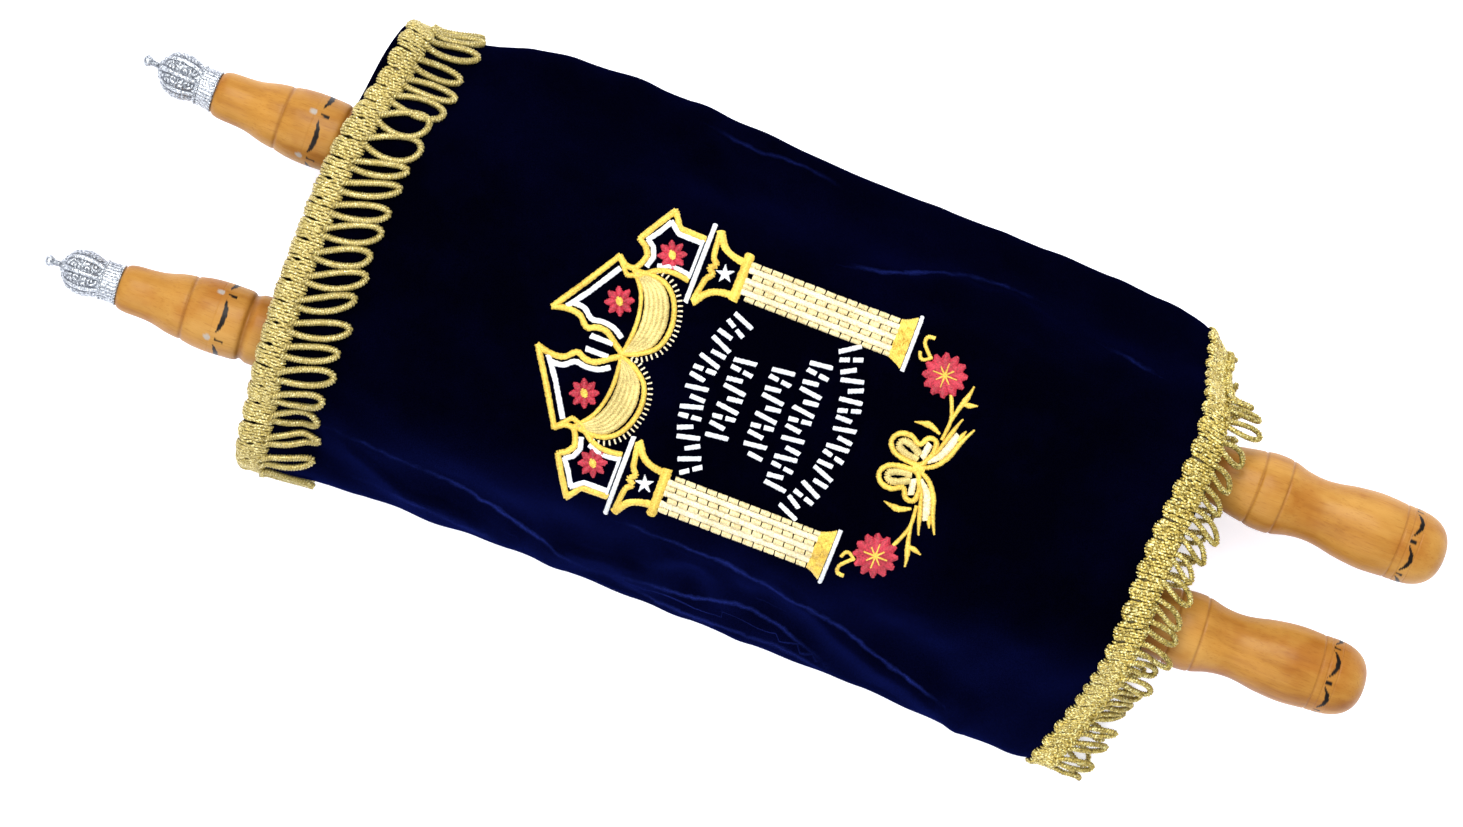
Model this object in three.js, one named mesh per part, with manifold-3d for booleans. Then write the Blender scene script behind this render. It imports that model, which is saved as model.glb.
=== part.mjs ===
// A small dressed scroll lying on its back: two turned wooden rollers with silver crowns, the
// parchment rolled on them, and a velvet mantle trimmed at both ends with braid and cord loops.
// Millimetres. X runs along the scroll from its crowns to its lower handles, Z is up.
import * as THREE from "three";
import { mergeVertices } from "three/addons/utils/BufferGeometryUtils.js";
import Module from "manifold-3d";

const wasm = await Module();
wasm.setup();

// Driving dimensions
const crownLength = 27;
const rollRadius = 25.5; // parchment wound on each roller
const shaftRadius = 9;
const shaftGap = 0.35; // between the shaft and the parchment wound on it
const holeRadius = 12.5; // in the mantle's top panel
const axisHeight = 30.4; // the rollers' centre lines above the table
const clothThickness = 1.8; // velvet with its lining
const rollClearance = 0.4; // between the parchment and the cloth round it
// Each roller: x of its crown's tip, y and slope of its line, and its length over crown and handle
const rightRoller = { tip: -228.5, across: 31.2, slope: 0.003, length: 462.2 };
const leftRoller = { tip: -235.5, across: -29.55, slope: 0.0537, length: 460.6 };
const mantleTop = -156.5;
const mantleHem = 150;
const parchmentTop = -141.5;
const parchmentFoot = 128;
const braidWidth = 11.5;
const braidGap = 0.65; // between the cloth and the trim sewn round it
const braidThickness = 2;
const scallop = 1.8; // depth of the notches in the braid's outer edge
const loopCord = 1.9; // thickness of the cord in the fringe's loops
const loopCount = 44; // round the mantle
const clothRound = 352; // the mantle's girth, near enough

// The mantle's half widths, its side edges' roundness and how far they lie off the table,
// at stations along its length. Bow draws the +Y and the -Y edge back from the middle of an end.
const stations = [
  { x: mantleTop, plus: 74.5, minus: 81.5, edge: 18, lift: 12.4, bowPlus: 5.5, bowMinus: 5.5 },
  { x: -128, plus: 77.4, minus: 79.2, edge: 14, lift: 9, bowPlus: 4, bowMinus: 4 },
  { x: -112, plus: 82, minus: 78.4, edge: 12, lift: 5, bowPlus: 2, bowMinus: 2 },
  { x: -80, plus: 85.6, minus: 78, edge: 10, lift: 2, bowPlus: 1, bowMinus: 1 },
  { x: -40, plus: 84.6, minus: 78.2, edge: 8, lift: 0, bowPlus: 0, bowMinus: 0 },
  { x: 10, plus: 81.8, minus: 78.8, edge: 7, lift: 0, bowPlus: 0, bowMinus: 0 },
  { x: 70, plus: 81.6, minus: 79.4, edge: 6, lift: 0, bowPlus: -0.5, bowMinus: -1 },
  { x: 112, plus: 80.2, minus: 81.4, edge: 6, lift: 0, bowPlus: -1.5, bowMinus: -5 },
  { x: 128, plus: 78.8, minus: 82, edge: 5.5, lift: 1, bowPlus: -2.6, bowMinus: -8 },
  { x: 138, plus: 76, minus: 81.4, edge: 5, lift: 2.7, bowPlus: -3.6, bowMinus: -9.8 },
  { x: mantleHem, plus: 73.5, minus: 80, edge: 4.5, lift: 2.7, bowPlus: -6, bowMinus: -11 },
];

const sections = [mantleTop, -149, -142, -134, -126, -112, -96, -80, -58, -36, 20, 80, 112, 128, 138, mantleHem];

const clothOut = rollRadius + rollClearance + clothThickness;
const rollerY = (roller, x) => roller.across + roller.slope * x;

// One value of the stations at x, on a smooth curve through them.
function stationValue(key, x) {
  const last = stations.length - 1;
  const at = (i) => stations[Math.min(Math.max(i, 0), last)];
  let i = 0;
  while (i < last - 1 && x > at(i + 1).x) i += 1;
  const t = THREE.MathUtils.clamp((x - at(i).x) / (at(i + 1).x - at(i).x), 0, 1);
  const [p0, p1, p2, p3] = [i - 1, i, i + 1, i + 2].map((n) => at(n)[key]);
  return (
    0.5 *
    (2 * p1 +
      (p2 - p0) * t +
      (2 * p0 - 5 * p1 + 4 * p2 - p3) * t * t +
      (3 * p1 - p0 - 3 * p2 + p3) * t * t * t)
  );
}

// The circles that the taut cloth goes round at x: the two rolls and its own two side edges.
function clothCircles(x) {
  const edge = stationValue("edge", x);
  const edgeHeight = edge + Math.max(0, stationValue("lift", x));
  return [
    [rollerY(rightRoller, x), axisHeight, clothOut],
    [rollerY(leftRoller, x), axisHeight, clothOut],
    [stationValue("plus", x) - edge, edgeHeight, edge],
    [edge - stationValue("minus", x), edgeHeight, edge],
  ];
}

// The stretches of cloth round a section: which circle each one bends round, the directions it
// can face, as shares of a turn from straight up towards +Y, and the points it is given.
const bends = [
  { circle: 0, from: 0, to: 0.25, points: 4 },
  { circle: 2, from: 0, to: 0.5, points: 8 },
  { circle: 0, from: 0.25, to: 0.5, points: 2 },
  { circle: 1, from: 0.5, to: 0.75, points: 2 },
  { circle: 3, from: 0.5, to: 1, points: 8 },
  { circle: 1, from: 0.75, to: 1, points: 4 },
];

// The cloth's outline at x, grown outwards: the taut line round all four circles. Where the cloth
// passes clear of a roll, the points of that bend lie on the straight between its neighbours.
const directions = 720; // tried round a section
const clearBend = 3; // half the width of a bend that passes clear of its roll

function section(x, grow) {
  const circles = clothCircles(x);
  const touched = bends.map(() => []);
  for (let i = 0; i <= directions; i++) {
    const turn = i / directions;
    const dy = Math.sin(2 * Math.PI * turn);
    const dz = Math.cos(2 * Math.PI * turn);
    const reaches = circles.map(([y, z, r]) => y * dy + z * dz + r);
    const furthest = Math.max(...reaches) - 1e-6;
    bends.forEach(({ circle, from, to }, n) => {
      if (turn >= from && turn <= to && reaches[circle] > furthest) touched[n].push(turn);
    });
  }
  const ring = [];
  bends.forEach(({ circle, points }, n) => {
    const [y, z, r] = circles[circle];
    const first = touched[n][0];
    const last = touched[n][touched[n].length - 1];
    for (let j = 0; j < points; j++) {
      const share = j / (points - 1);
      if (first === undefined) {
        ring.push({ y: y + (1 - 2 * share) * clearBend, z: null });
        continue;
      }
      const turn = 2 * Math.PI * (first + (last - first) * share);
      ring.push({ y: y + (r + grow) * Math.sin(turn), z: z + (r + grow) * Math.cos(turn) });
    }
  });
  return ring.map(({ y, z }, j) => {
    let height = z;
    if (z === null) {
      const before = ring.slice(0, j).reverse().find((other) => other.z !== null);
      const after = ring.slice(j).find((other) => other.z !== null);
      height = before.z + ((after.z - before.z) * (y - before.y)) / (after.y - before.y);
    }
    const half = stationValue(y > 0 ? "plus" : "minus", x);
    const edgeBow = stationValue(y > 0 ? "bowPlus" : "bowMinus", x);
    return new THREE.Vector3(x + edgeBow * Math.min(1, (y / half) ** 2), y, height);
  });
}

// A closed solid from rings of points, each ring the same way round, fanned shut at both ends.
function loft(rings) {
  const count = rings[0].length;
  const index = [];
  for (let i = 0; i + 1 < rings.length; i++) {
    for (let j = 0; j < count; j++) {
      const a = i * count + j;
      const b = i * count + ((j + 1) % count);
      index.push(a, b, a + count, b, b + count, a + count);
    }
  }
  const lastRing = (rings.length - 1) * count;
  for (let j = 1; j + 1 < count; j++) {
    index.push(0, j + 1, j, lastRing, lastRing + j, lastRing + j + 1);
  }
  return fromPoints(rings.flat(), index);
}

function fromPoints(points, index) {
  const geometry = new THREE.BufferGeometry().setFromPoints(points);
  geometry.setIndex(index);
  return geometry;
}

// Between three.js geometry and solids that can be cut and joined
function solid(geometry) {
  const bare = geometry.clone();
  bare.deleteAttribute("normal");
  bare.deleteAttribute("uv");
  const merged = mergeVertices(bare, 1e-4);
  const vertProperties = new Float32Array(merged.attributes.position.array);
  const triVerts = new Uint32Array(merged.index.array);
  const made = new wasm.Manifold(new wasm.Mesh({ numProp: 3, vertProperties, triVerts }));
  if (made.volume() >= 0) return made;
  triVerts.reverse(); // its faces looked inwards
  return new wasm.Manifold(new wasm.Mesh({ numProp: 3, vertProperties, triVerts }));
}

function geometryOf(shape) {
  const mesh = shape.getMesh();
  const geometry = new THREE.BufferGeometry();
  geometry.setAttribute("position", new THREE.BufferAttribute(mesh.vertProperties, 3));
  geometry.setIndex(new THREE.BufferAttribute(mesh.triVerts, 1));
  return geometry;
}

// A solid of revolution about a roller's line: the profile holds [distance from its crown tip, radius].
function turned(roller, profile, sides) {
  const points = profile.map(([along, radius]) => new THREE.Vector2(radius, along));
  return onRoller(roller, new THREE.LatheGeometry(points, sides));
}

// Lays a geometry modelled up the Y axis along a roller's line.
function onRoller(roller, geometry) {
  geometry.rotateZ(-Math.PI / 2);
  geometry.rotateZ(Math.atan(roller.slope));
  geometry.translate(roller.tip, rollerY(roller, roller.tip), axisHeight);
  return geometry;
}

function rod(roller, from, to, radius, sides) {
  return solid(turned(roller, [[from, 0], [from, radius], [to, radius], [to, 0]], sides));
}

// A V groove of the given depth, cut round a turned piece
const groove = (along, radius, depth) => [
  [along - 0.6, radius],
  [along, radius - depth],
  [along + 0.6, radius],
];

const spigot = { radius: 4.4, length: 5 };

// One turned roller: the upper handle, the shaft and the lower handle
function rollerGeometry(roller) {
  const start = crownLength;
  const end = roller.length;
  const domeLength = 13;
  const domeRadius = 12.8;
  const dome = [];
  for (let i = 1; i <= 4; i++) {
    const turn = (i * Math.PI) / 8;
    dome.push([end - domeLength + domeLength * Math.sin(turn), domeRadius * Math.cos(turn)]);
  }
  dome[dome.length - 1][1] = 0;
  const profile = [
    [start - spigot.length, 0],
    [start - spigot.length, spigot.radius],
    [start, spigot.radius],
    [start, 6],
    [start + 1, 6.8],
    [start + 8, 8],
    [start + 16, 9.6],
    ...groove(start + 23.6, 10.4, 0.6),
    [start + 33, 12.2],
    [start + 40, 12],
    ...groove(start + 44, 11.5, 0.9),
    [start + 49, 11.8],
    [start + 57.5, 11.6],
    [start + 59, shaftRadius],
    [end - 84, shaftRadius],
    [end - 76, 10.8],
    [end - 70, 12.2],
    ...groove(end - 67, 13, 0.5),
    [end - 62, 13.2],
    ...groove(end - 57.5, 12.7, 0.5),
    [end - 53, 11.7],
    [end - 47, 10.8],
    [end - 36, 12.3],
    [end - 27, 13.1],
    ...groove(end - 17.4, 13, 0.4),
    [end - domeLength, domeRadius],
    ...dome,
  ];
  return turned(roller, profile, 16);
}

// A cast crown: a plain collar, a ribbed swelling closing to a neck, and a ball
function crownGeometry(roller) {
  const ribs = 8;
  const sides = ribs * 2;
  const outline = [
    // [distance from the tip, radius, how much the ribs stand out]
    [0.05, 0.7, 0],
    [0.8, 1.8, 0],
    [2.2, 2.2, 0],
    [3.8, 1.7, 0],
    [4.6, 1, 0],
    [5.4, 2.5, 0],
    [6.2, 3.4, 0.1],
    [8.2, 5.9, 0.3],
    [11, 7.2, 0.5],
    [14, 7.6, 0.55],
    [17.4, 7.1, 0.4],
    [20, 6.3, 0],
    [20.8, 6.7, 0],
    [26.2, 6.9, 0],
    [crownLength, 6.5, 0],
  ];
  const rings = outline.map(([along, radius, rib]) => {
    const ring = [];
    for (let j = 0; j < sides; j++) {
      const turn = (2 * Math.PI * j) / sides;
      const r = radius + rib * Math.cos(ribs * turn);
      ring.push(new THREE.Vector3(r * Math.cos(turn), along, r * Math.sin(turn)));
    }
    return ring;
  });
  const body = solid(onRoller(roller, loft(rings)));
  const depth = spigot.length + 0.6;
  const socket = rod(roller, crownLength - depth, crownLength + 1, spigot.radius + 0.35, 12);
  return geometryOf(body.subtract(socket));
}

// The parchment: a roll on each roller and the sheet that crosses between them underneath
function parchmentGeometry() {
  const sides = 24;
  const sheet = 1.2;
  const low = axisHeight - rollRadius;
  const corner = (x, roller, z) => new THREE.Vector3(x, rollerY(roller, x), z);
  const ring = (x) => [
    corner(x, rightRoller, low),
    corner(x, rightRoller, low + sheet),
    corner(x, leftRoller, low + sheet),
    corner(x, leftRoller, low),
  ];
  let rolls = solid(loft([ring(parchmentTop + 1), ring(parchmentFoot - 1)]));
  for (const roller of [rightRoller, leftRoller]) {
    const along = (x) => (x - roller.tip) / Math.cos(Math.atan(roller.slope));
    rolls = rolls.add(rod(roller, along(parchmentTop), along(parchmentFoot), rollRadius, sides));
  }
  for (const roller of [rightRoller, leftRoller]) {
    rolls = rolls.subtract(rod(roller, crownLength, roller.length, shaftRadius + shaftGap, 20));
  }
  return geometryOf(rolls);
}

// The cloth's faceted outline at x, lying straight between the sections the mantle is made of
function clothRing(x, grow) {
  let i = 0;
  while (i < sections.length - 2 && x > sections[i + 1]) i += 1;
  const t = (x - sections[i]) / (sections[i + 1] - sections[i]);
  const next = section(sections[i + 1], grow);
  return section(sections[i], grow).map((point, j) => point.lerp(next[j], t));
}

// The mantle: a sleeve of cloth closed at its top by a stiff panel with a hole for each roller
function mantleGeometry() {
  const panel = clothThickness;
  const panelReach = 110; // from the crown's tip, past the panel
  const outside = solid(loft(sections.map((x) => clothRing(x, 0))));
  const inner = sections.map((x) => clothRing(x, -clothThickness));
  for (const point of inner[0]) point.x += panel;
  inner.push(inner[inner.length - 1].map((point) => point.clone().setX(point.x + 5)));
  let sleeve = outside.subtract(solid(loft(inner)));
  for (const roller of [rightRoller, leftRoller]) {
    sleeve = sleeve.subtract(rod(roller, crownLength, panelReach, holeRadius, 20));
  }
  return geometryOf(sleeve);
}

// The cloth's outline at x as a polyline with its lengths, from the middle of the front round
// by the right side, the back and the left side.
function clothOutline(x, grow) {
  const points = clothRing(x, grow);
  points.unshift(points[0].clone().lerp(points[points.length - 1], 0.5));
  points.push(points[0]);
  const lengths = [0];
  for (let j = 1; j < points.length; j++) {
    lengths.push(lengths[j - 1] + points[j].distanceTo(points[j - 1]));
  }
  return { points, lengths };
}

// A point on the cloth a share of the way round it, standing off it by grow. Past the hem the
// cord has no cloth under it, so it runs on and sinks towards the table.
function onCloth(x, share, grow, outlines) {
  const held = Math.min(x, mantleHem);
  const key = held.toFixed(3) + "/" + grow.toFixed(3);
  if (!outlines.has(key)) outlines.set(key, clothOutline(held, grow));
  const { points, lengths } = outlines.get(key);
  const total = lengths[lengths.length - 1];
  const wanted = (((share % 1) + 1) % 1) * total;
  let i = 1;
  while (i < lengths.length - 1 && lengths[i] < wanted) i += 1;
  const t = (wanted - lengths[i - 1]) / (lengths[i] - lengths[i - 1]);
  const point = points[i - 1].clone().lerp(points[i], t);
  const past = x - held;
  const free = THREE.MathUtils.clamp((point.z - 6) / 20, 0, 1);
  point.x += past * (1 - 0.1 * free);
  point.z -= 0.022 * past * past * free;
  return point;
}

// One length of fringe: a scalloped braid round the mantle with a row of cord loops along one
// side of it. From is where the braid starts and loops is the way along X that the loops point.
function fringeGeometry(from, loops, loopLength) {
  const outlines = new Map();
  const pitch = 1 / loopCount;
  const foot = (loopCord * loopCount) / clothRound; // as a share of one loop
  const root = loops > 0 ? from + braidWidth : from;
  const back = loops > 0 ? from : from + braidWidth;
  const low = braidGap;
  const high = braidGap + braidThickness;
  const loopLow = low + 0.05;
  const loopHigh = loopLow + loopCord;
  const points = [];
  const index = [];
  const quad = (a, b, c, d) => index.push(a, b, c, a, c, d);
  const lay = (x, share, grow) => points.push(onCloth(x, share, grow, outlines)) - 1;

  // Half of one loop: how far out, and how far its cord's two sides are from the loop's middle
  const halfLoop = [
    { out: 0.55, outer: 0.43, inner: 0.43 - foot },
    { out: 1, outer: 0.17, inner: 0.1 },
  ];
  // The braid has three columns of points a loop: one between neighbouring loops, where its back
  // is drawn in, and one at the inner side of each of the loop's feet
  const columns = [];
  for (let k = 0; k < loopCount; k++) {
    for (const [place, dent] of [[0, scallop], [foot, 0], [1 - foot, 0]]) {
      const share = (k + place) * pitch;
      const scalloped = back + loops * dent;
      columns.push([
        lay(root, share, low),
        lay(root, share, high),
        lay(scalloped, share, high),
        lay(scalloped, share, low),
      ]);
    }
  }
  columns.forEach((a, j) => {
    const b = columns[(j + 1) % columns.length];
    quad(a[1], b[1], b[2], a[2]);
    quad(a[2], b[2], b[3], a[3]);
    quad(a[3], b[3], b[0], a[0]);
    if (j % 3 === 1) quad(a[0], b[0], b[1], a[1]);
  });
  for (let k = 0; k < loopCount; k++) {
    const middle = (k + 0.5) * pitch;
    const ring = ({ out, outer, inner }, side) => {
      const reach = root + loops * out * loopLength;
      const inside = out === 1 ? reach - loops * loopCord : reach;
      return [
        lay(reach, middle + side * outer * pitch, loopLow),
        lay(inside, middle + side * inner * pitch, loopLow),
        lay(inside, middle + side * inner * pitch, loopHigh),
        lay(reach, middle + side * outer * pitch, loopHigh),
      ];
    };
    const [a, b, c] = columns.slice(3 * k, 3 * k + 3);
    const d = columns[(3 * k + 3) % columns.length];
    const rings = [
      [a[0], b[0], b[1], a[1]],
      ...halfLoop.map((step) => ring(step, -1)),
      ...[...halfLoop].reverse().map((step) => ring(step, 1)),
      [d[0], c[0], c[1], d[1]],
    ];
    for (let i = 0; i + 1 < rings.length; i++) {
      for (let n = 0; n < 4; n++) {
        const m = (n + 1) % 4;
        quad(rings[i][n], rings[i][m], rings[i + 1][m], rings[i + 1][n]);
      }
    }
  }
  return geometryOf(solid(fromPoints(points, index)));
}

const colours = {
  velvet: [0x0b0f3a, 0.9, 0],
  goldThread: [0xc9a24a, 0.45, 0.6],
  wood: [0xc9822f, 0.4, 0],
  silver: [0xd5d8da, 0.25, 1],
  parchment: [0xe9dcc0, 0.8, 0],
};

function part(name, colour, geometry) {
  const [color, roughness, metalness] = colours[colour];
  const material = new THREE.MeshStandardMaterial({ color, roughness, metalness });
  const mesh = new THREE.Mesh(geometry, material);
  mesh.name = name;
  return mesh;
}

const scroll = new THREE.Group();
scroll.add(
  part("mantle", "velvet", mantleGeometry()),
  part("top_fringe", "goldThread", fringeGeometry(mantleTop + 1, 1, 16)),
  part("bottom_fringe", "goldThread", fringeGeometry(mantleHem - 10.5, 1, 13)),
  part("parchment", "parchment", parchmentGeometry()),
  part("right_roller", "wood", rollerGeometry(rightRoller)),
  part("left_roller", "wood", rollerGeometry(leftRoller)),
  part("right_crown", "silver", crownGeometry(rightRoller)),
  part("left_crown", "silver", crownGeometry(leftRoller)),
);

// The origin is under the middle of the whole scroll, at the height of the table.
const box = new THREE.Box3().setFromObject(scroll, true);
scroll.position.set(-(box.min.x + box.max.x) / 2, -(box.min.y + box.max.y) / 2, -box.min.z);

export default scroll;
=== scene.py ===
import math
import bmesh
import bpy
import numpy as np
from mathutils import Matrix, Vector
from mathutils.bvhtree import BVHTree


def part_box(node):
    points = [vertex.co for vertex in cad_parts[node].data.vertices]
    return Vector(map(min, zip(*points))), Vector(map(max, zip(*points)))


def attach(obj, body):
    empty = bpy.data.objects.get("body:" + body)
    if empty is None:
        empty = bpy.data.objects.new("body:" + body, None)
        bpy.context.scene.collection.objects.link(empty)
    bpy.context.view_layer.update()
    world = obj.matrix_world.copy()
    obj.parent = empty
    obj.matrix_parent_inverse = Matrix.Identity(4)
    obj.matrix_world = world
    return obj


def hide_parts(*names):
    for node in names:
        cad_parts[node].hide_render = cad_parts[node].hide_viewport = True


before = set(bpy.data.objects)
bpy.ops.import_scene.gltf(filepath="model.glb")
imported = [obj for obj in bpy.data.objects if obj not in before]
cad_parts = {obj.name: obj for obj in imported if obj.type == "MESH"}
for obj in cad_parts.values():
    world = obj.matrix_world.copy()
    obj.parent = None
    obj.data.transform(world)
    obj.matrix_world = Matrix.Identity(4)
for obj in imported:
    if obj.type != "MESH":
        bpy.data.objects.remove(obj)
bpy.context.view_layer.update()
print("frame loaded")

# Everything below is measured in millimetres, in the same design axes as the solids: X along the
# scroll from its crowns to its lower handles, Y across it, Z up. crownBox sets where they lie here.
mm = 0.001
crownTip = -228.5                     # x of the right crown's tip
crownLength = 27.0
rightLine = {"across": 31.2, "slope": 0.003}
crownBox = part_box("right_crown")
crownMiddle = rightLine["across"] + rightLine["slope"] * (crownTip + crownLength / 2)
shift = np.array([
    crownBox[1][0] / mm - (crownTip + crownLength),
    (crownBox[0][1] + crownBox[1][1]) / 2 / mm - crownMiddle,
    0.0,
])
rng = np.random.default_rng(18)


# mesh helpers

def makePiece(name, points, faceSets, material):
    points = np.asarray(points, dtype=float).reshape(-1, 3)
    faceSets = [np.asarray(faces, dtype=np.int32) for faces in faceSets if len(faces)]
    mesh = bpy.data.meshes.new(name)
    mesh.vertices.add(len(points))
    mesh.vertices.foreach_set("co", ((points + shift) * mm).astype(np.float32).ravel())
    corners = np.concatenate([faces.ravel() for faces in faceSets])
    sizes = np.concatenate([np.full(len(faces), faces.shape[1]) for faces in faceSets])
    starts = np.concatenate([[0], np.cumsum(sizes)[:-1]])
    mesh.loops.add(len(corners))
    mesh.loops.foreach_set("vertex_index", corners)
    mesh.polygons.add(len(sizes))
    mesh.polygons.foreach_set("loop_start", starts.astype(np.int32))
    mesh.polygons.foreach_set("use_smooth", np.full(len(sizes), True))
    mesh.update(calc_edges=True)
    mesh.validate()
    mesh.materials.append(material)
    piece = bpy.data.objects.new(name, mesh)
    bpy.context.collection.objects.link(piece)
    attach(piece, "root")
    print("made", name, len(mesh.polygons))
    return piece


def paint(piece, name, values):
    layer = piece.data.attributes.new(name, "FLOAT", "POINT")
    layer.data.foreach_set("value", np.asarray(values, dtype=np.float32))


def unit(vectors):
    return vectors / np.maximum(np.linalg.norm(vectors, axis=-1, keepdims=True), 1e-9)


def gridFaces(rows, columns, closed=True):
    a = np.arange(rows - 1)[:, None] * columns
    j = np.arange(columns if closed else columns - 1)[None, :]
    n = (j + 1) % columns
    faces = np.stack([a + j, a + n, a + columns + n, a + columns + j], axis=-1)
    return faces.reshape(-1, 4)


def blend(p0, p1, p2, p3, t):
    # between the middle two of four points in a row, as a Catmull-Rom curve
    return 0.5 * (
        2 * p1 + (p2 - p0) * t + (2 * p0 - 5 * p1 + 4 * p2 - p3) * t * t
        + (3 * p1 - p0 - 3 * p2 + p3) * t ** 3
    )


def curveThrough(xs, values, x):
    # a smooth curve through the stations, the same one that shapes the solids
    xs = np.asarray(xs, dtype=float)
    values = np.asarray(values, dtype=float)
    x = np.asarray(x, dtype=float)
    i = np.clip(np.searchsorted(xs, x, side="left") - 1, 0, len(xs) - 2)
    t = np.clip((x - xs[i]) / (xs[i + 1] - xs[i]), 0, 1)
    p0, p1 = values[np.maximum(i - 1, 0)], values[i]
    p2, p3 = values[i + 1], values[np.minimum(i + 2, len(xs) - 1)]
    return blend(p0, p1, p2, p3, t)


def fromTable(table, share):
    signed = np.mod(np.asarray(share) + 0.5, 1) - 0.5
    return np.interp(signed, [row[0] for row in table], [row[1] for row in table])


def smoothPath(points, steps=6, closed=False):
    points = np.asarray(points, dtype=float)
    count = len(points)
    result = []
    for i in range(count if closed else count - 1):
        if closed:
            p0, p1, p2, p3 = (points[(i + k) % count] for k in (-1, 0, 1, 2))
        else:
            p0, p1 = points[max(i - 1, 0)], points[i]
            p2, p3 = points[i + 1], points[min(i + 2, count - 1)]
        for t in np.arange(steps) / steps:
            result.append(blend(p0, p1, p2, p3, t))
    result.append(points[0] if closed else points[-1])
    return np.array(result)


def lengthsAlong(paths):
    # how far each point of a path is from the path's start
    steps = np.linalg.norm(np.diff(paths, axis=-2), axis=-1)
    return np.concatenate([np.zeros(steps.shape[:-1] + (1,)), np.cumsum(steps, axis=-1)], axis=-1)


def turnsOf(sides):
    return np.arange(sides) * 2 * np.pi / sides


def tubes(paths, ups, radii, sides=6, strands=0, twist=0.0, depth=0.0):
    # paths and ups are (tubes, points, 3); the strands wind round the tube as in a twisted cord
    count, length, _ = paths.shape
    tangent = unit(np.gradient(paths, axis=1))
    side = unit(np.cross(tangent, ups))
    up = np.cross(side, tangent)
    along, angle = lengthsAlong(paths), turnsOf(sides)
    radius = np.broadcast_to(radii, (count, length))[..., None] * np.ones(sides)
    if strands:
        radius = radius * (1 + depth * np.cos(strands * (angle - twist * along[..., None])))
    points = (
        paths[:, :, None, :]
        + (radius * np.cos(angle))[..., None] * side[:, :, None, :]
        + (radius * np.sin(angle))[..., None] * up[:, :, None, :]
    )
    one = gridFaces(length, sides)
    offsets = np.arange(count)[:, None, None] * length * sides
    faces = (one[None] + offsets).reshape(-1, 4)
    caps = np.stack([np.arange(sides), (length - 1) * sides + np.arange(sides)[::-1]])
    caps = (caps[None] + offsets).reshape(-1, sides)
    return points.reshape(-1, 3), [faces[:, ::-1], caps[:, ::-1]]


def strandGrooveShade(paths, sides, strands, twist):
    # 1 in the grooves between the strands of a twisted cord, 0 on top of them: how much shade is painted
    # there
    along, angle = lengthsAlong(paths), turnsOf(sides)
    return (0.5 - 0.5 * np.cos(strands * (angle - twist * along[..., None]))).ravel()


def joined(parts):
    points, sets, start = [], {}, 0
    for partPoints, faceSets in parts:
        for faces in faceSets:
            faces = np.asarray(faces)
            if len(faces):
                sets.setdefault(faces.shape[1], []).append(faces + start)
        points.append(np.asarray(partPoints).reshape(-1, 3))
        start += len(points[-1])
    return np.concatenate(points), [np.concatenate(group) for group in sets.values()]


# materials

class Finish:
    # one material, whose steps each give a socket for the next

    def __init__(self, name):
        self.material = bpy.data.materials.new(name)
        self.material.use_nodes = True
        self.nodes = self.material.node_tree.nodes
        self.links = self.material.node_tree.links

    def put(self, socket, value):
        if isinstance(value, tuple):
            socket.default_value = (*value, 1)
        elif isinstance(value, (int, float)):
            socket.default_value = value
        else:
            self.links.new(value, socket)

    def shade(self, **values):
        # the shader's inputs, their names written without spaces
        for socket in self.nodes["Principled BSDF"].inputs:
            name = socket.name.replace(" ", "")
            if name in values:
                self.put(socket, values.pop(name))
        assert not values, values
        return self.material

    def place(self, scale=(1, 1, 1)):
        coordinates = self.nodes.new("ShaderNodeTexCoord")
        mapping = self.nodes.new("ShaderNodeMapping")
        mapping.inputs["Scale"].default_value = scale
        self.links.new(coordinates.outputs["Object"], mapping.inputs["Vector"])
        return mapping.outputs["Vector"]

    def painted(self, attribute):
        node = self.nodes.new("ShaderNodeAttribute")
        node.attribute_name = attribute
        return node.outputs["Fac"]

    def noise(self, place, scale, detail, roughness):
        node = self.nodes.new("ShaderNodeTexNoise")
        self.put(node.inputs["Vector"], place)
        for name, value in (("Scale", scale), ("Detail", detail), ("Roughness", roughness)):
            self.put(node.inputs[name], value)
        return node.outputs["Fac"]

    def maths(self, operation, *values):
        node = self.nodes.new("ShaderNodeMath")
        node.operation = operation
        for socket, value in zip(node.inputs, values):
            self.put(socket, value)
        return node.outputs["Value"]

    def ramp(self, source, *stops):
        node = self.nodes.new("ShaderNodeValToRGB")
        elements = node.color_ramp.elements
        while len(elements) < len(stops):
            elements.new(0.5)
        for element, (position, colour) in zip(elements, stops):
            element.position = position
            element.color = (*colour, 1) if isinstance(colour, tuple) else (colour, colour, colour, 1)
        self.put(node.inputs["Fac"], source)
        return node.outputs["Color"]

    def mix(self, factor, first, second, mode="MIX"):
        node = self.nodes.new("ShaderNodeMix")
        node.data_type = "RGBA"
        node.blend_type = mode
        for socket, value in ((0, factor), (6, first), (7, second)):
            self.put(node.inputs[socket], value)
        return node.outputs[2]

    def bump(self, height, strength, distance, normal=None):
        node = self.nodes.new("ShaderNodeBump")
        for name, value in (("Height", height), ("Strength", strength), ("Distance", distance)):
            self.put(node.inputs[name], value)
        if normal is not None:
            self.put(node.inputs["Normal"], normal)
        return node.outputs["Normal"]


velvetLook = {
    "deep": (0.0003, 0.0003, 0.0022),
    "brushed": (0.0006, 0.0007, 0.0070),
    # the colour of the painted sheen on the grazing slopes of that side
    "edge": (0.0050, 0.0090, 0.080),
    # the colour of the painted highlight lines along the creases
    "crease": (0.0110, 0.0190, 0.130),
    "sheen": 0.03,
    "sheenTint": (0.012, 0.022, 0.50),
    # where across the scroll, in metres, the painted sheen starts and reaches its full strength, and how
    # strong it is there
    "lie": {"From Min": -0.03, "From Max": -0.074, "To Min": 0.1, "To Max": 1.0},
}


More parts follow.
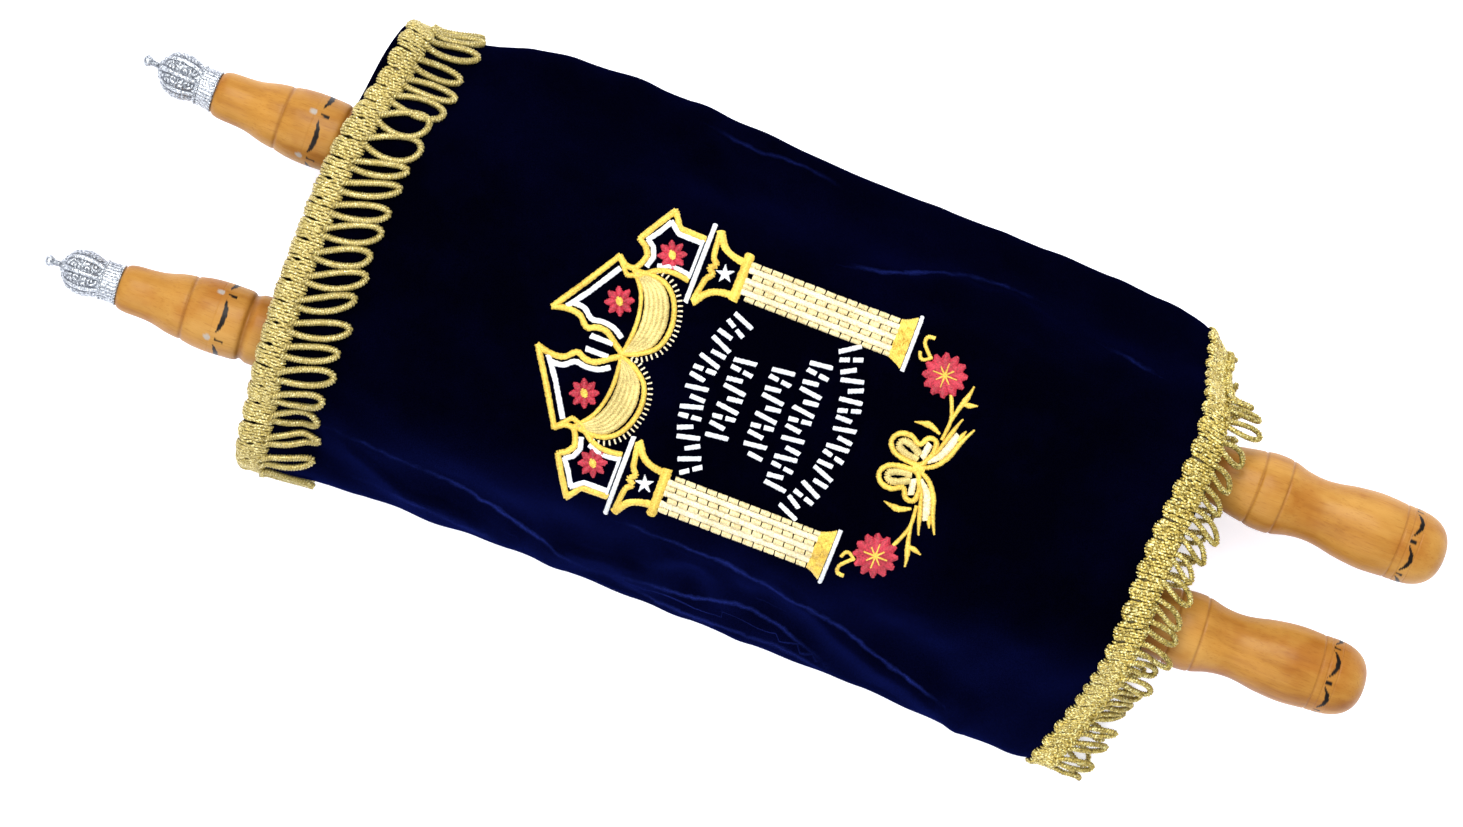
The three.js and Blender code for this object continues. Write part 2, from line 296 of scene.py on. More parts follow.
def velvetMaterial():
    finish = Finish("navy velvet")
    place = finish.place()
    pile = finish.noise(place, 26, 5, 0.62)
    colour = finish.ramp(pile, (0.42, velvetLook["deep"]), (0.78, velvetLook["brushed"]))
    # painted sheen: slopes seen at a grazing angle are painted a brighter blue, on the side towards the left
    # roller alone
    facing = finish.nodes.new("ShaderNodeLayerWeight")
    facing.inputs["Blend"].default_value = 0.26
    axes = finish.nodes.new("ShaderNodeSeparateXYZ")
    finish.put(axes.inputs["Vector"], place)
    lie = finish.nodes.new("ShaderNodeMapRange")
    finish.put(lie.inputs["Value"], axes.outputs["Y"])
    for end, value in velvetLook["lie"].items():
        finish.put(lie.inputs[end], value)
    paintedSheen = finish.maths("MULTIPLY", facing.outputs["Facing"], lie.outputs["Result"])
    colour = finish.mix(paintedSheen, colour, velvetLook["edge"])
    # painted highlight: a thin bright line painted along a crease
    wander = finish.maths("MULTIPLY_ADD", finish.noise(place, 130, 3, 0.6), 3.0, -1.5)
    far = finish.maths("ABSOLUTE", finish.maths("ADD", finish.painted("highlightSide"), wander))
    line = finish.ramp(far, (0.0, 1), (0.3, 0.6), (0.95, 0))
    broken = finish.ramp(pile, (0.38, 0.1), (0.6, 1))
    amount = finish.mix(1.0, line, broken, "MULTIPLY")
    highlightShown = finish.mix(finish.painted("highlightNear"), (0, 0, 0), amount)
    colour = finish.mix(highlightShown, colour, velvetLook["crease"])
    tuft = finish.noise(place, 2600, 2, 0.7)
    speck = finish.ramp(tuft, (0.35, 0.55), (0.75, (1.35, 1.35, 1.5)))
    soft = finish.bump(finish.noise(place, 90, 4, 0.6), 0.25, 0.0012)
    return finish.shade(
        BaseColor=finish.mix(1.0, colour, speck, "MULTIPLY"), Roughness=0.9, SpecularIORLevel=0.0,
        SheenWeight=velvetLook["sheen"], SheenRoughness=0.32, SheenTint=velvetLook["sheenTint"],
        Normal=finish.bump(tuft, 0.5, 0.0004, soft),
    )


def threadMaterial(name, dark, light, sheen=0.25, metallic=0.0, roughness=0.42, grain=1800):
    finish = Finish(name)
    place = finish.place()
    fine = finish.noise(place, grain, 3, 0.65)
    blend = finish.maths("MULTIPLY_ADD", finish.noise(place, 160, 2, 0.5), 0.35, fine)
    return finish.shade(
        BaseColor=finish.ramp(blend, (0.48, dark), (0.86, light)), Roughness=roughness, Metallic=metallic,
        SheenWeight=sheen, SheenRoughness=0.4, Normal=finish.bump(fine, 0.4, 0.0003),
    )


# each end's flake colours run from dark to near white: partly the yarn's own varied tone, partly painted
# glints on flakes that catch the light
tinselLooks = {
    "top": {
        "flake": 3300, "stops": [
            (0.0, (0.25, 0.18, 0.036)), (0.4, (0.44, 0.34, 0.09)),
            (0.8, (0.58, 0.47, 0.16)), (0.97, (0.95, 0.86, 0.45)),
        ],
    },
    "bottom": {
        "flake": 2200, "stops": [
            (0.0, (0.13, 0.085, 0.012)), (0.35, (0.42, 0.31, 0.055)),
            (0.78, (0.70, 0.54, 0.13)), (0.94, (1.0, 0.95, 0.45)),
        ],
    },
}


def tinselMaterial(end):
    # metallic film spun round a core: bright flakes, straw gold between them, and painted shade where strands
    # meet
    look = tinselLooks[end]
    finish = Finish(end + " tinsel cord")
    flakes = finish.nodes.new("ShaderNodeTexVoronoi")
    finish.put(flakes.inputs["Scale"], look["flake"])
    finish.put(flakes.inputs["Vector"], finish.place())
    flake = finish.nodes.new("ShaderNodeSeparateColor")
    finish.put(flake.inputs["Color"], flakes.outputs["Color"])
    # flake colours, the palest of them painted glints
    colour = finish.ramp(flake.outputs["Red"], *look["stops"])
    # painted shade: the colour runs to near black in the grooves
    depth = finish.ramp(finish.painted("valley"), (0.2, 0), (0.85, 0.95))
    return finish.shade(
        BaseColor=finish.mix(depth, colour, (0.06, 0.04, 0.007)),
        Metallic=finish.ramp(flake.outputs["Green"], (0.35, 0.15), (0.8, 0.75)),
        Roughness=finish.ramp(flake.outputs["Blue"], (0.0, 0.22), (1.0, 0.5)),
        Normal=finish.bump(flake.outputs["Green"], 0.55, 0.0003),
    )


woodLook = {
    "light": (0.90, 0.46, 0.100),
    "middle": (0.76, 0.345, 0.056),
    "dark": (0.54, 0.205, 0.026),
    # painted shade in the turned grooves
    "groove": (0.34, 0.11, 0.016),
    "bare": (0.74, 0.72, 0.66),
    "burnt": (0.004, 0.002, 0.001),
}


def woodMaterial():
    finish = Finish("lacquered honey wood")
    figure = finish.noise(finish.place((1, 7, 7)), 14, 6, 0.55)
    colour = finish.ramp(
        figure, (0.30, woodLook["dark"]), (0.46, woodLook["middle"]), (0.68, woodLook["light"]),
    )
    pores = finish.noise(finish.place((1, 14, 14)), 150, 3, 0.7)
    pore = finish.ramp(pores, (0.34, (0.84, 0.78, 0.72)), (0.46, 1))
    colour = finish.mix(1.0, colour, pore, "MULTIPLY")
    blotch = finish.noise(finish.place(), 52, 3, 0.55)
    tone = finish.ramp(blotch, (0.34, (0.84, 0.68, 0.5)), (0.5, 1), (0.68, (1.12, 1.14, 1.2)))
    colour = finish.mix(1.0, colour, tone, "MULTIPLY")
    # painted shade darkens the grooves; the pale dots and the burnt marks are the wood's own
    for attribute, stain in (("groove", "groove"), ("dot", "bare"), ("burn", "burnt")):
        colour = finish.mix(finish.painted(attribute), colour, woodLook[stain])
    return finish.shade(
        BaseColor=colour, Roughness=0.42, SpecularIORLevel=0.1, CoatWeight=0.1, CoatRoughness=0.22,
        Normal=finish.bump(pores, 0.12, 0.0004),
    )


def silverMaterial():
    finish = Finish("silver plate")
    # the metal's colour is speckled from dark to pale: partly its own grain, partly painted dark reflection
    grainAndReflection = finish.noise(finish.place(), 1500, 4, 0.7)
    colour = finish.ramp(grainAndReflection, (0.40, (0.20, 0.22, 0.25)), (0.60, (0.80, 0.83, 0.86)))
    return finish.shade(
        # painted shade: the chased hollows, the neck and the end beside the wood are painted dark
        BaseColor=finish.mix(finish.painted("recessShade"), colour, (0.07, 0.08, 0.10)),
        Metallic=1.0, Roughness=0.24, Normal=finish.bump(grainAndReflection, 0.55, 0.0004),
    )


def parchmentMaterial():
    finish = Finish("rolled parchment")
    mottle = finish.noise(finish.place(), 55, 5, 0.6)
    colour = finish.ramp(mottle, (0.3, (0.60, 0.47, 0.28)), (0.7, (0.83, 0.73, 0.53)))
    return finish.shade(
        # painted shade between the turns at the roll's ends
        BaseColor=finish.mix(finish.painted("turn"), colour, (0.24, 0.16, 0.08)), Roughness=0.72,
        Normal=finish.bump(mottle, 0.2, 0.0005),
    )


velvet = velvetMaterial()
tinsels = {end: tinselMaterial(end) for end in tinselLooks}
wood = woodMaterial()
silver = silverMaterial()
parchmentSkin = parchmentMaterial()
threads = {
    "gold": threadMaterial("gold embroidery thread", (0.52, 0.31, 0.03), (1.0, 0.74, 0.13), 0.2, 0.15, 0.36),
    "cream": threadMaterial("cream embroidery thread", (0.58, 0.47, 0.24), (1.0, 0.93, 0.70), 0.3),
    "white": threadMaterial("white embroidery thread", (0.62, 0.68, 0.76), (1.0, 1.0, 1.0), 0.4),
    "red": threadMaterial("red embroidery thread", (0.17, 0.002, 0.006), (0.68, 0.035, 0.075), 0.15),
    "straw": threadMaterial("straw embroidery thread", (0.46, 0.36, 0.15), (1.0, 0.86, 0.50), 0.2, 0.1),
    "metal": threadMaterial(
        "pale metal thread", (0.30, 0.22, 0.06), (0.92, 0.76, 0.30), 0.1, 0.35, 0.4, 2600,
    ),
}
print("materials made")


# the two rollers' lines: x of the crown's tip, where the line crosses x = 0, its slope and the whole
# length; how far the crown's tip leans to +Y; where the burnt marks stand, in degrees from the top

rollers = {
    "right": {"tip": crownTip, **rightLine, "length": 462.2, "lean": 1.8, "upper": -27, "lower": -8},
    "left": {
        "tip": -235.5, "across": -29.55, "slope": 0.0537, "length": 460.6, "lean": 0.7,
        "upper": -45, "lower": 7,
    },
}
axisHeight = 30.4
rollRadius = 25.5


def lineY(roller, x):
    return roller["across"] + roller["slope"] * x


def onLine(roller, along, side, up):
    # along the roller from its crown's tip, to its side and above its line
    angle = math.atan(roller["slope"])
    x = roller["tip"] + along * math.cos(angle) - side * math.sin(angle)
    y = lineY(roller, roller["tip"]) + along * math.sin(angle) + side * math.cos(angle)
    return np.stack([x, y, axisHeight + up + 0 * x], axis=-1)


# mantle

mantle = {
    "top": -156.5,
    "hem": 150.0,
    "rows": 150,
    "around": 168,
    "thickness": 1.6,
    "rollClearance": 2.2,             # outside of the cloth over the parchment
    "overRolls": (-144.0, 130.0, 1.0),    # from x to x the cloth lies at least this far off them
    "slopeSag": 3.4,
    "topSag": 0.7,
    "undulation": 0.225,
    "rimRound": 2.4,                  # the top edge turns over this far on to the panel
    # how far the hem's line strays along x: share of the way round from the middle of the front, value
    "hemLine": [(-0.5, 0), (-0.25, 1.0), (-0.2, 1.7), (-0.135, 0.9), (-0.087, -0.7), (-0.04, -2.1),
                (0.0, -2.3), (0.047, -0.5), (0.087, 1.1), (0.13, 1.1), (0.2, 0.5), (0.26, 0), (0.5, 0)],
    # x, half width to +Y and to -Y, roundness of the side edges, their lift, how far each end of the
    # cloth is bowed along x at the +Y edge and at the -Y edge, and how far the cloth has sunk
    "stations": [
        (-156.5, 74.5, 81.5, 18, 12.4, 5.5, 5.5, 0), (-128, 77.4, 79.2, 14, 9, 4, 4, 0),
        (-112, 82.0, 78.4, 12, 5, 2, 2, 0), (-80, 85.6, 78, 10, 2, 1, 1, 0),
        (-40, 84.6, 78.2, 8, 0, 0, 0, 0), (10, 81.8, 78.8, 7, 0, 0, 0, 0),
        (70, 81.6, 79.4, 6, 0, -0.5, -1, 0), (112, 80.2, 81.4, 6, 0, -1.5, -5, 0),
        (128, 78.8, 82.0, 5.5, 1, -2.6, -8, 0.5), (140, 76.4, 81.2, 5, 2.7, -3.8, -10, 1.9),
        (150, 68.0, 80, 4.5, 2.7, -4.6, -11, 3.6),
    ],
    # soft ridges pressed up in the velvet: points (x, y) seen from above, height and width
    "creases": [
        ([(-127, -58), (-112, -64), (-98, -69), (-78, -70), (-62, -74)], 2.2, 5.0),
        ([(-52, -76), (-40, -69), (-28, -67), (-8, -66)], 2.0, 5.5),
        ([(-16, -68), (-9, -58), (5, -57), (18, -62)], 1.8, 5.0),
        ([(24, -53), (34, -54), (48, -59), (70, -67), (84, -70), (106, -77)], 2.4, 5.0),
        ([(19, 47), (25, 51), (37, 55), (48, 59), (68, 61), (90, 59)], 1.3, 4.0),
        ([(100, 55), (110, 54), (121, 52)], 1.0, 4.0),
        ([(-48, 80), (-40, 74), (-30, 70)], 1.3, 5.0),
        ([(66, -46), (78, -45), (90, -46)], 0.7, 5.0),
        ([(104, -38), (109, -37), (113, -40)], 1.0, 4.0),
    ],
    # thin painted highlight lines along the creases: points seen from above and how bright
    "partings": [
        ([(-126, -59), (-102, -61), (-76, -63), (-53, -69), (-34, -74), (-14, -72), (7, -70), (27, -67),
          (55, -75)], 0.9),
        ([(-25, -54), (-4, -54), (16, -55), (34, -58), (54, -61), (73, -67), (96, -74)], 0.9),
        ([(-43, 79), (-28, 77), (-13, 78), (4, 76)], 0.4),
        ([(15, 52), (26, 54), (45, 61), (60, 64), (77, 64)], 0.6),
        ([(104, 57), (113, 56), (121, 55)], 0.9),
        ([(-120, -72), (-96, -74), (-60, -77)], 0.7),
        ([(-20, -75), (10, -77), (36, -76), (60, -79)], 0.7),
    ],
    "partingReach": 2.5,              # to either side of its line
    "partingFade": 12,                # along it, towards each end
}


def station(column, x):
    table = np.array(mantle["stations"], dtype=float)
    return curveThrough(table[:, 0], table[:, column], x)


def tautSection(x):
    # the taut line round both rolls and the two side edges, sagging where it spans free
    edge = float(station(3, x))
    height = edge + max(0.0, float(station(4, x)))
    out = rollRadius + mantle["rollClearance"] - float(station(7, x))
    circles = np.array([
        (lineY(rollers["right"], x), axisHeight, out),
        (lineY(rollers["left"], x), axisHeight, out),
        (float(station(1, x)) - edge, height, edge),
        (edge - float(station(2, x)), height, edge),
    ])
    turn = np.linspace(0, 2 * np.pi, 720, endpoint=False)
    sine, cosine = np.sin(turn), np.cos(turn)
    reach = circles[:, 0:1] * sine + circles[:, 1:2] * cosine + circles[:, 2:3]
    best = reach.argmax(axis=0)
    outline = circles[best, :2] + circles[best, 2:3] * np.stack([sine, cosine], axis=-1)
    middle = (outline[0] + outline[-1]) / 2
    outline = np.vstack([middle, outline, middle])
    line = []
    for a, b in zip(outline[:-1], outline[1:]):
        gap = np.linalg.norm(b - a)
        line.append(a[None])
        if gap < 3:
            continue
        share = np.linspace(0, 1, 26)[1:-1, None]
        inward = np.array([b[1] - a[1], a[0] - b[0]]) / gap
        isTop = min(a[1], b[1]) > axisHeight + out - 1
        isUnder = max(a[1], b[1]) < 14 and abs(inward[1]) > 0.9
        if isTop:
            half = share / 2 if abs(a[0] - middle[0]) > 1 else 0.5 + share / 2
            sag = mantle["topSag"] * np.sin(np.pi * half) ** 2
        elif isUnder:
            sag = 0 * share
        else:
            sag = mantle["slopeSag"] * (gap / 55) * np.sin(np.pi * share) ** 2
        line.append(a + (b - a) * share + inward * sag)
    line.append(outline[-1:])
    return np.vstack(line)


def ringOf(x, count):
    line = tautSection(x)
    lengths = lengthsAlong(line)
    wanted = np.arange(count) / count * lengths[-1]
    y = np.interp(wanted, lengths, line[:, 0])
    z = np.interp(wanted, lengths, line[:, 1])
    return y, z, lengths[-1]


def gridNormals(grid):
    across = np.roll(grid, -1, axis=1) - np.roll(grid, 1, axis=1)
    along = np.gradient(grid, axis=0)
    return unit(np.cross(along, across))


def distanceTo(points, line):
    best = np.full(points.shape[:-1], 1e9)
    side = np.zeros(points.shape[:-1])
    for a, b in zip(line[:-1], line[1:]):
        run = b - a
        t = np.clip(((points - a) @ run) / (run @ run), 0, 1)
        off = points - (a + t[..., None] * run)
        far = np.linalg.norm(off, axis=-1)
        sign = np.sign(run[0] * off[..., 1] - run[1] * off[..., 0])
        side = np.where(far < best, sign, side)
        best = np.minimum(best, far)
    return best, side


def toEnds(points, path):
    # how far each point is from the nearer end of a line
    return np.minimum(np.linalg.norm(points - path[0], axis=-1), np.linalg.norm(points - path[-1], axis=-1))


def bowAt(x, y):
    # how far along x the cloth's rings are bent at their side edges
    plus = station(5, x) * np.minimum(1, (y / station(1, x)) ** 2)
    minus = station(6, x) * np.minimum(1, (y / station(2, x)) ** 2)
    return np.where(y > 0, plus, minus)


def clothGrid():
    rim = mantle["top"] + np.array([0, 0.15, 0.45, 0.9, 1.6, 2.4])
    xs = np.concatenate([rim, np.linspace(rim[-1] + 1.8, mantle["hem"], mantle["rows"])])
    grid = np.zeros((len(xs), mantle["around"], 3))
    perimeter = np.zeros(len(xs))
    for i, x in enumerate(xs):
        y, z, perimeter[i] = ringOf(x, mantle["around"])
        grid[i] = np.stack([np.full_like(y, x), y, z], axis=-1)
    normals = gridNormals(grid)
    slope = 1 - np.abs(normals[..., 2])
    above = np.clip((grid[..., 2] - 3) / 6, 0, 1)
    upward = np.clip(normals[..., 2] * 2.5, 0, 1)
    lift = np.zeros(grid.shape[:2])
    for line, height, width in mantle["creases"]:
        path = smoothPath(line, 5)
        far, side = distanceTo(grid[..., :2], path)
        fade = np.clip(toEnds(grid[..., :2], path) / 10, 0.15, 1)
        ridge = np.exp(-(far / width) ** 2) - 0.55 * np.exp(-((far - 2.1 * width) / width) ** 2)
        lift += height * fade * ridge * (1 - 0.25 * side) * above * upward
    share = np.arange(mantle["around"]) / mantle["around"] * 2 * np.pi
    for _ in range(14):
        k, m = rng.uniform(0.01, 0.05), rng.integers(2, 9)
        phase = rng.uniform(0, 2 * np.pi)
        wave = np.sin(2 * np.pi * k * xs[:, None] * rng.choice([-1, 1]) + m * share[None] + phase)
        lift += mantle["undulation"] * wave * (0.25 + slope) * above * (0.35 + 0.65 * upward)
    turned = np.clip(1 - (xs - mantle["top"]) / mantle["rimRound"], 0, 1)
    lift -= (mantle["rimRound"] * (1 - np.sqrt(1 - turned ** 2)))[:, None]
    grid = grid + normals * lift[..., None]
    grid[..., 0] += bowAt(xs[:, None], grid[..., 1])
    low = np.clip((xs - 90) / (mantle["hem"] - 90), 0, 1)
    low = low * low * (3 - 2 * low)
    grid[..., 0] += low[:, None] * fromTable(mantle["hemLine"], share / (2 * np.pi))
    # where a fold would sink into a roll of parchment, the cloth lies on it
    first, last, least = mantle["overRolls"]
    for roller in rollers.values():
        middle = lineY(roller, grid[..., 0])
        away = grid[..., 1:] - np.stack([middle, np.full_like(middle, axisHeight)], axis=-1)
        far = np.linalg.norm(away, axis=-1)
        push = np.maximum(0, rollRadius + least - far) * (grid[..., 0] > first) * (grid[..., 0] < last)
        grid[..., 1:] += away / far[..., None] * push[..., None]
    grid[..., 2] = np.maximum(grid[..., 2], 0.02)
    return xs, grid, perimeter


def partings(grid, normals):
    # how far each point is to the side of the nearest painted highlight line, and how much of that highlight
    # shows there
    side, near = np.full(grid.shape[:2], 9.0), np.zeros(grid.shape[:2])
    closest = np.full(grid.shape[:2], 1e9)
    for line, strength in mantle["partings"]:
        path = smoothPath(line, 6)
        far, way = distanceTo(grid[..., :2], path)
        beside = np.clip(2 - far / mantle["partingReach"], 0, 1)
        fade = np.clip(toEnds(grid[..., :2], path) / mantle["partingFade"], 0, 1)
        highlightShown = strength * beside * fade * (normals[..., 2] > 0)
        nearer = far < closest
        side, near = np.where(nearer, way * far, side), np.where(nearer, highlightShown, near)
        closest = np.minimum(closest, far)
    return side, near


def makeMantle():
    xs, grid, perimeter = clothGrid()
    normals = gridNormals(grid)
    inside = grid - normals * mantle["thickness"]
    rows, around = grid.shape[:2]
    # both ends turn over a rounded edge from the outside to the lining
    rim = []
    for row, way in ((0, -1), (rows - 1, 1)):
        middle = (grid[row] + inside[row]) / 2
        for share in (0.35, 0.65):
            ring = grid[row] * (1 - share) + inside[row] * share
            rim.append(ring + np.array([way * 0.45, 0, 0]))
    points = np.concatenate([
        rim[1][None], rim[0][None], grid, rim[2][None], rim[3][None], inside[::-1],
    ])
    faces = gridFaces(len(points), around)
    last = (len(points) - 1) * around
    j = np.arange(around)
    closing = np.stack([last + j, last + (j + 1) % around, (j + 1) % around, j], axis=-1)
    piece = makePiece("velvet_mantle", points, [faces[:, ::-1], closing[:, ::-1]], velvet)
    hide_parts("mantle")
    side, near = partings(grid, normals)
    hidden = np.zeros(2 * around)
    # the painted highlight lines go on the outside only, not on the turned-over rims or the lining
    for attribute, values in (("highlightSide", side), ("highlightNear", near)):
        lining = np.zeros(2 * around + values.size)
        paint(piece, attribute, np.concatenate([hidden, values.ravel(), lining]))
    return piece, xs, grid, perimeter


mantlePiece, clothRows, cloth, clothPerimeter = makeMantle()
clothNormals = gridNormals(cloth)
print("mantle made", len(mantlePiece.data.polygons))


def onCloth(x, share, lift):
    # a point of the cloth a share of the way round it from the middle of the front; before the top
    # edge it turns down over it, past the hem it goes straight on
    held = np.clip(x, mantle["top"], mantle["hem"])
    u = np.interp(held, clothRows, np.arange(len(clothRows)))
    v = np.mod(share, 1) * cloth.shape[1]
    u0 = np.clip(np.floor(u).astype(int), 0, len(clothRows) - 2)
    v0 = np.floor(v).astype(int) % cloth.shape[1]
    v1 = (v0 + 1) % cloth.shape[1]
    fu, fv = (u - u0)[..., None], (v - np.floor(v))[..., None]

    def sample(grid):
        return (grid[u0, v0] * (1 - fu) + grid[u0 + 1, v0] * fu) * (1 - fv) + (
            grid[u0, v1] * (1 - fu) + grid[u0 + 1, v1] * fu
        ) * fv

    normal = unit(sample(clothNormals))
    before = np.maximum(0, mantle["top"] - x)
    forward = 0.7 * np.tanh(before / 0.7)
    point = sample(cloth) + normal * (np.asarray(lift) - (before - forward))[..., None]
    point[..., 0] += np.maximum(0, x - mantle["hem"]) - forward
    return point, normal


# the stiff oval panel that closes the mantle's top, with a bound hole for each roller

topPanel = {"inset": 1.0, "thickness": 1.6, "hole": 12.6, "binding": 0.9, "cuts": 2}


def makeTopPanel():
    row = int(np.searchsorted(clothRows, mantle["top"] + topPanel["inset"]))
    edge = cloth[row] - clothNormals[row] * (mantle["thickness"] + 0.2)
    builder = bmesh.new()

    def loop(points):
        made = [builder.verts.new((0, y, z)) for y, z in points]
        for a, b in zip(made, made[1:] + made[:1]):
            builder.edges.new((a, b))

    loop(edge[::2, 1:])
    centres = []
    for roller in rollers.values():
        y = lineY(roller, mantle["top"])
        centres.append(y)
        hole = topPanel["hole"]
        loop([(y + hole * math.cos(t), axisHeight + hole * math.sin(t)) for t in turnsOf(36)])
    bmesh.ops.triangle_fill(builder, edges=builder.edges[:], use_beauty=True, normal=(-1, 0, 0))
    for _ in range(topPanel["cuts"]):
        bmesh.ops.subdivide_edges(builder, edges=builder.edges[:], cuts=1, use_grid_fill=True)
    bmesh.ops.triangulate(builder, faces=builder.faces[:])
    builder.verts.ensure_lookup_table()
    flat = np.array([v.co[:] for v in builder.verts])
    triangles = np.array([[v.index for v in f.verts] for f in builder.faces])
    rims = np.array([
        [e.verts[0].index, e.verts[1].index] for e in builder.edges if len(e.link_faces) == 1
    ])
    builder.free()
    flat[:, 0] = mantle["top"] + topPanel["inset"] + bowAt(mantle["top"], flat[:, 1])
    back = flat + np.array([topPanel["thickness"], 0, 0])
    count = len(flat)
    walls = np.stack([rims[:, 0], rims[:, 1], rims[:, 1] + count, rims[:, 0] + count], axis=-1)
    points = np.vstack([flat, back])
    parts = [(points, [triangles, triangles[:, ::-1] + count, walls])]
    for y in centres:
        turn = np.linspace(0, 2 * np.pi, 49)
        ring = np.stack([
            mantle["top"] + topPanel["inset"] + bowAt(mantle["top"], y + topPanel["hole"] * np.cos(turn)),
            y + topPanel["hole"] * np.cos(turn), axisHeight + topPanel["hole"] * np.sin(turn),
        ], axis=-1)[None]
        out = np.zeros_like(ring) + np.array([-1.0, 0, 0])
        parts.append(tubes(ring, out, topPanel["binding"], 8))
    points, faceSets = joined(parts)
    piece = makePiece("top_panel", points, faceSets, velvet)
    builder = bmesh.new()
    builder.from_mesh(piece.data)
    bmesh.ops.recalc_face_normals(builder, faces=builder.faces[:])
    builder.to_mesh(piece.data)
    builder.free()
    return piece


topPanelPiece = makeTopPanel()


# fringes: a braid of ribs laid side by side, scalloped along its outer edge, and loops of cord

fringes = {
    # tables of (share of the way round from the middle of the front, value)
    "top": {
        "width": 10.4, "scallop": 1.7, "cord": 1.04,
        "start": [(-0.5, -156.8), (-0.24, -156.9), (-0.14, -157.2), (-0.05, -158.2), (0.07, -158.0),
                  (0.13, -156.2), (0.17, -154.6), (0.24, -155.4), (0.5, -156.8)],
        "lean": [(-0.5, 0), (-0.25, -3.0), (-0.22, 0.0), (-0.19, 3.2), (-0.1, 5.2), (0.0, 6.4), (0.06, 5.0),
                 (0.09, 3.0), (0.14, 2.4), (0.2, 2.2), (0.25, 1.5), (0.5, 0)],
        "length": (16.6, 19.0), "droop": 0.0, "short": [(-0.5, 1), (0.5, 1)],
        "spread": [(-0.5, 5.4), (-0.24, 3.6), (-0.19, 3.0), (-0.17, 5.2), (0.05, 5.9), (0.075, 4.4),
                   (0.09, 5.6), (0.105, 8.4), (0.155, 8.6), (0.175, 5.4), (0.25, 4.4), (0.5, 5.4)],
    },
    "bottom": {
        "width": 11.0, "scallop": 2.7, "cord": 0.88,
        "start": [(-0.5, 139.5), (0.5, 139.5)],
        "lean": [(-0.5, 0), (-0.25, 3.5), (-0.18, 2.5), (-0.12, 0), (-0.05, -6), (0.05, -5.5),
                 (0.1, -4), (0.125, -1), (0.16, 0), (0.18, -5), (0.2, -9), (0.24, -12), (0.29, -8), (0.5, 0)],
        "length": (12.0, 16.5), "droop": 0.035,
        "short": [(-0.5, 1), (-0.04, 0.95), (-0.01, 0.8), (0.03, 0.95), (0.08, 0.72), (0.12, 0.8),
                  (0.135, 1.15), (0.16, 1.15), (0.175, 0.7), (0.19, 0.42), (0.21, 0.25), (0.235, 0.12),
                  (0.26, 0.08), (0.3, 0.4), (0.34, 1), (0.5, 1)],
        "spread": [(-0.5, 3.6), (-0.2, 3.4), (-0.1, 4.6), (0.0, 3.6), (0.1, 4.4), (0.14, 2.4),
                   (0.2, 2.2), (0.28, 2.4), (0.5, 3.6)],
    },
}
braid = {
    "lobes": 50, "ribs": 7, "ribRadius": 0.52, "fan": 3.4, "hump": 0.6,
    "knob": 1.25, "knobHeight": 0.16, "base": 0.5,
}
# foot is half the gap between a loop's two ends, overWood the radius of the wood under the hem's loops
loopCord = {
    "count": 44, "points": 140, "sides": 9, "twist": 3.3, "depth": 0.26, "foot": 1.0, "overWood": 12.6,
}
clothRound = 352.0                    # the cloth's length round, near enough


def braidParts(fringe):
    width = fringe["width"]
    ribs = braid["lobes"] * braid["ribs"]
    k = np.arange(ribs)
    share = (k + 0.5) / ribs
    place = (k % braid["ribs"] + 0.5) / braid["ribs"] * 2 - 1
    steps = np.linspace(0, 1, 27)
    # the ribs run straight across the middle and fan out into each lobe
    reach = fringe["scallop"] * (1 - np.sqrt(1 - (place * 0.95) ** 2))
    last = width - 0.9 * np.abs(np.sin(np.pi * share * loopCord["count"]))
    across = reach[:, None] + (last - reach)[:, None] * steps
    gather = 0.14 * np.exp(-((across - braid["fan"] - 0.4) / 1.1) ** 2)
    gather = gather + 0.16 * np.exp(-((across - 0.2) / 1.3) ** 2)
    offset = -place[:, None] * clothRound / braid["lobes"] / 2 * gather
    offset = offset + rng.normal(0, 0.07, (ribs, 1)) + 0.1 * np.sin(across * 1.7 + k[:, None] * 2.4)
    ends = np.sqrt(np.clip(np.minimum(steps, 1 - steps) * 12, 0, 1))
    hump = braid["hump"] * np.sin(np.pi * np.clip(across / (braid["fan"] + 1.2), 0, 1))
    hump = hump * (1 - place[:, None] ** 2 * 0.7)
    band = 0.35 * np.sin(np.pi * np.clip((across - braid["fan"]) / (width - braid["fan"]), 0, 1))
    knob = np.abs(np.sin(np.pi * (across / braid["knob"] + 0.5 * (k % 2)[:, None])))
    lift = (braid["base"] + hump + band) * ends + 0.2 + braid["knobHeight"] * knob
    start = fromTable(fringe["start"], share)[:, None]
    path, normal = onCloth(start + across, share[:, None] + offset / clothRound, lift)
    radius = braid["ribRadius"] * (0.6 + 0.4 * ends) * (1 + 0.2 * knob)
    parts = [tubes(path, normal, radius, 6)]
    # painted shade: each rib is painted darker on its sides and underside, and between its knobs
    rising = np.sin(np.arange(6) * np.pi / 3)
    grooveShades = np.clip(0.95 - 0.8 * rising - 0.25 * knob[..., None], 0, 1)
    # the ground that the ribs are sewn to, painted in full shade
    columns = np.arange(braid["lobes"] * 6) / (braid["lobes"] * 6)
    rows = np.array([1.4, width - 1.0, width - 1.0, 1.4])
    lifts = np.array([0.1, 0.1, 0.62, 0.62])
    start = fromTable(fringe["start"], columns)[:, None]
    ground, _ = onCloth(start + rows, columns[:, None] + 0 * rows, lifts)
    j = np.arange(len(columns))
    a, b = j * 4, (j + 1) % len(columns) * 4
    quads = [np.stack([a + n, b + n, b + (n + 1) % 4, a + (n + 1) % 4], axis=-1) for n in range(4)]
    parts.append((ground.reshape(-1, 3), [np.concatenate(quads)]))
    return parts, np.concatenate([grooveShades.ravel(), np.ones(ground.size // 3)])


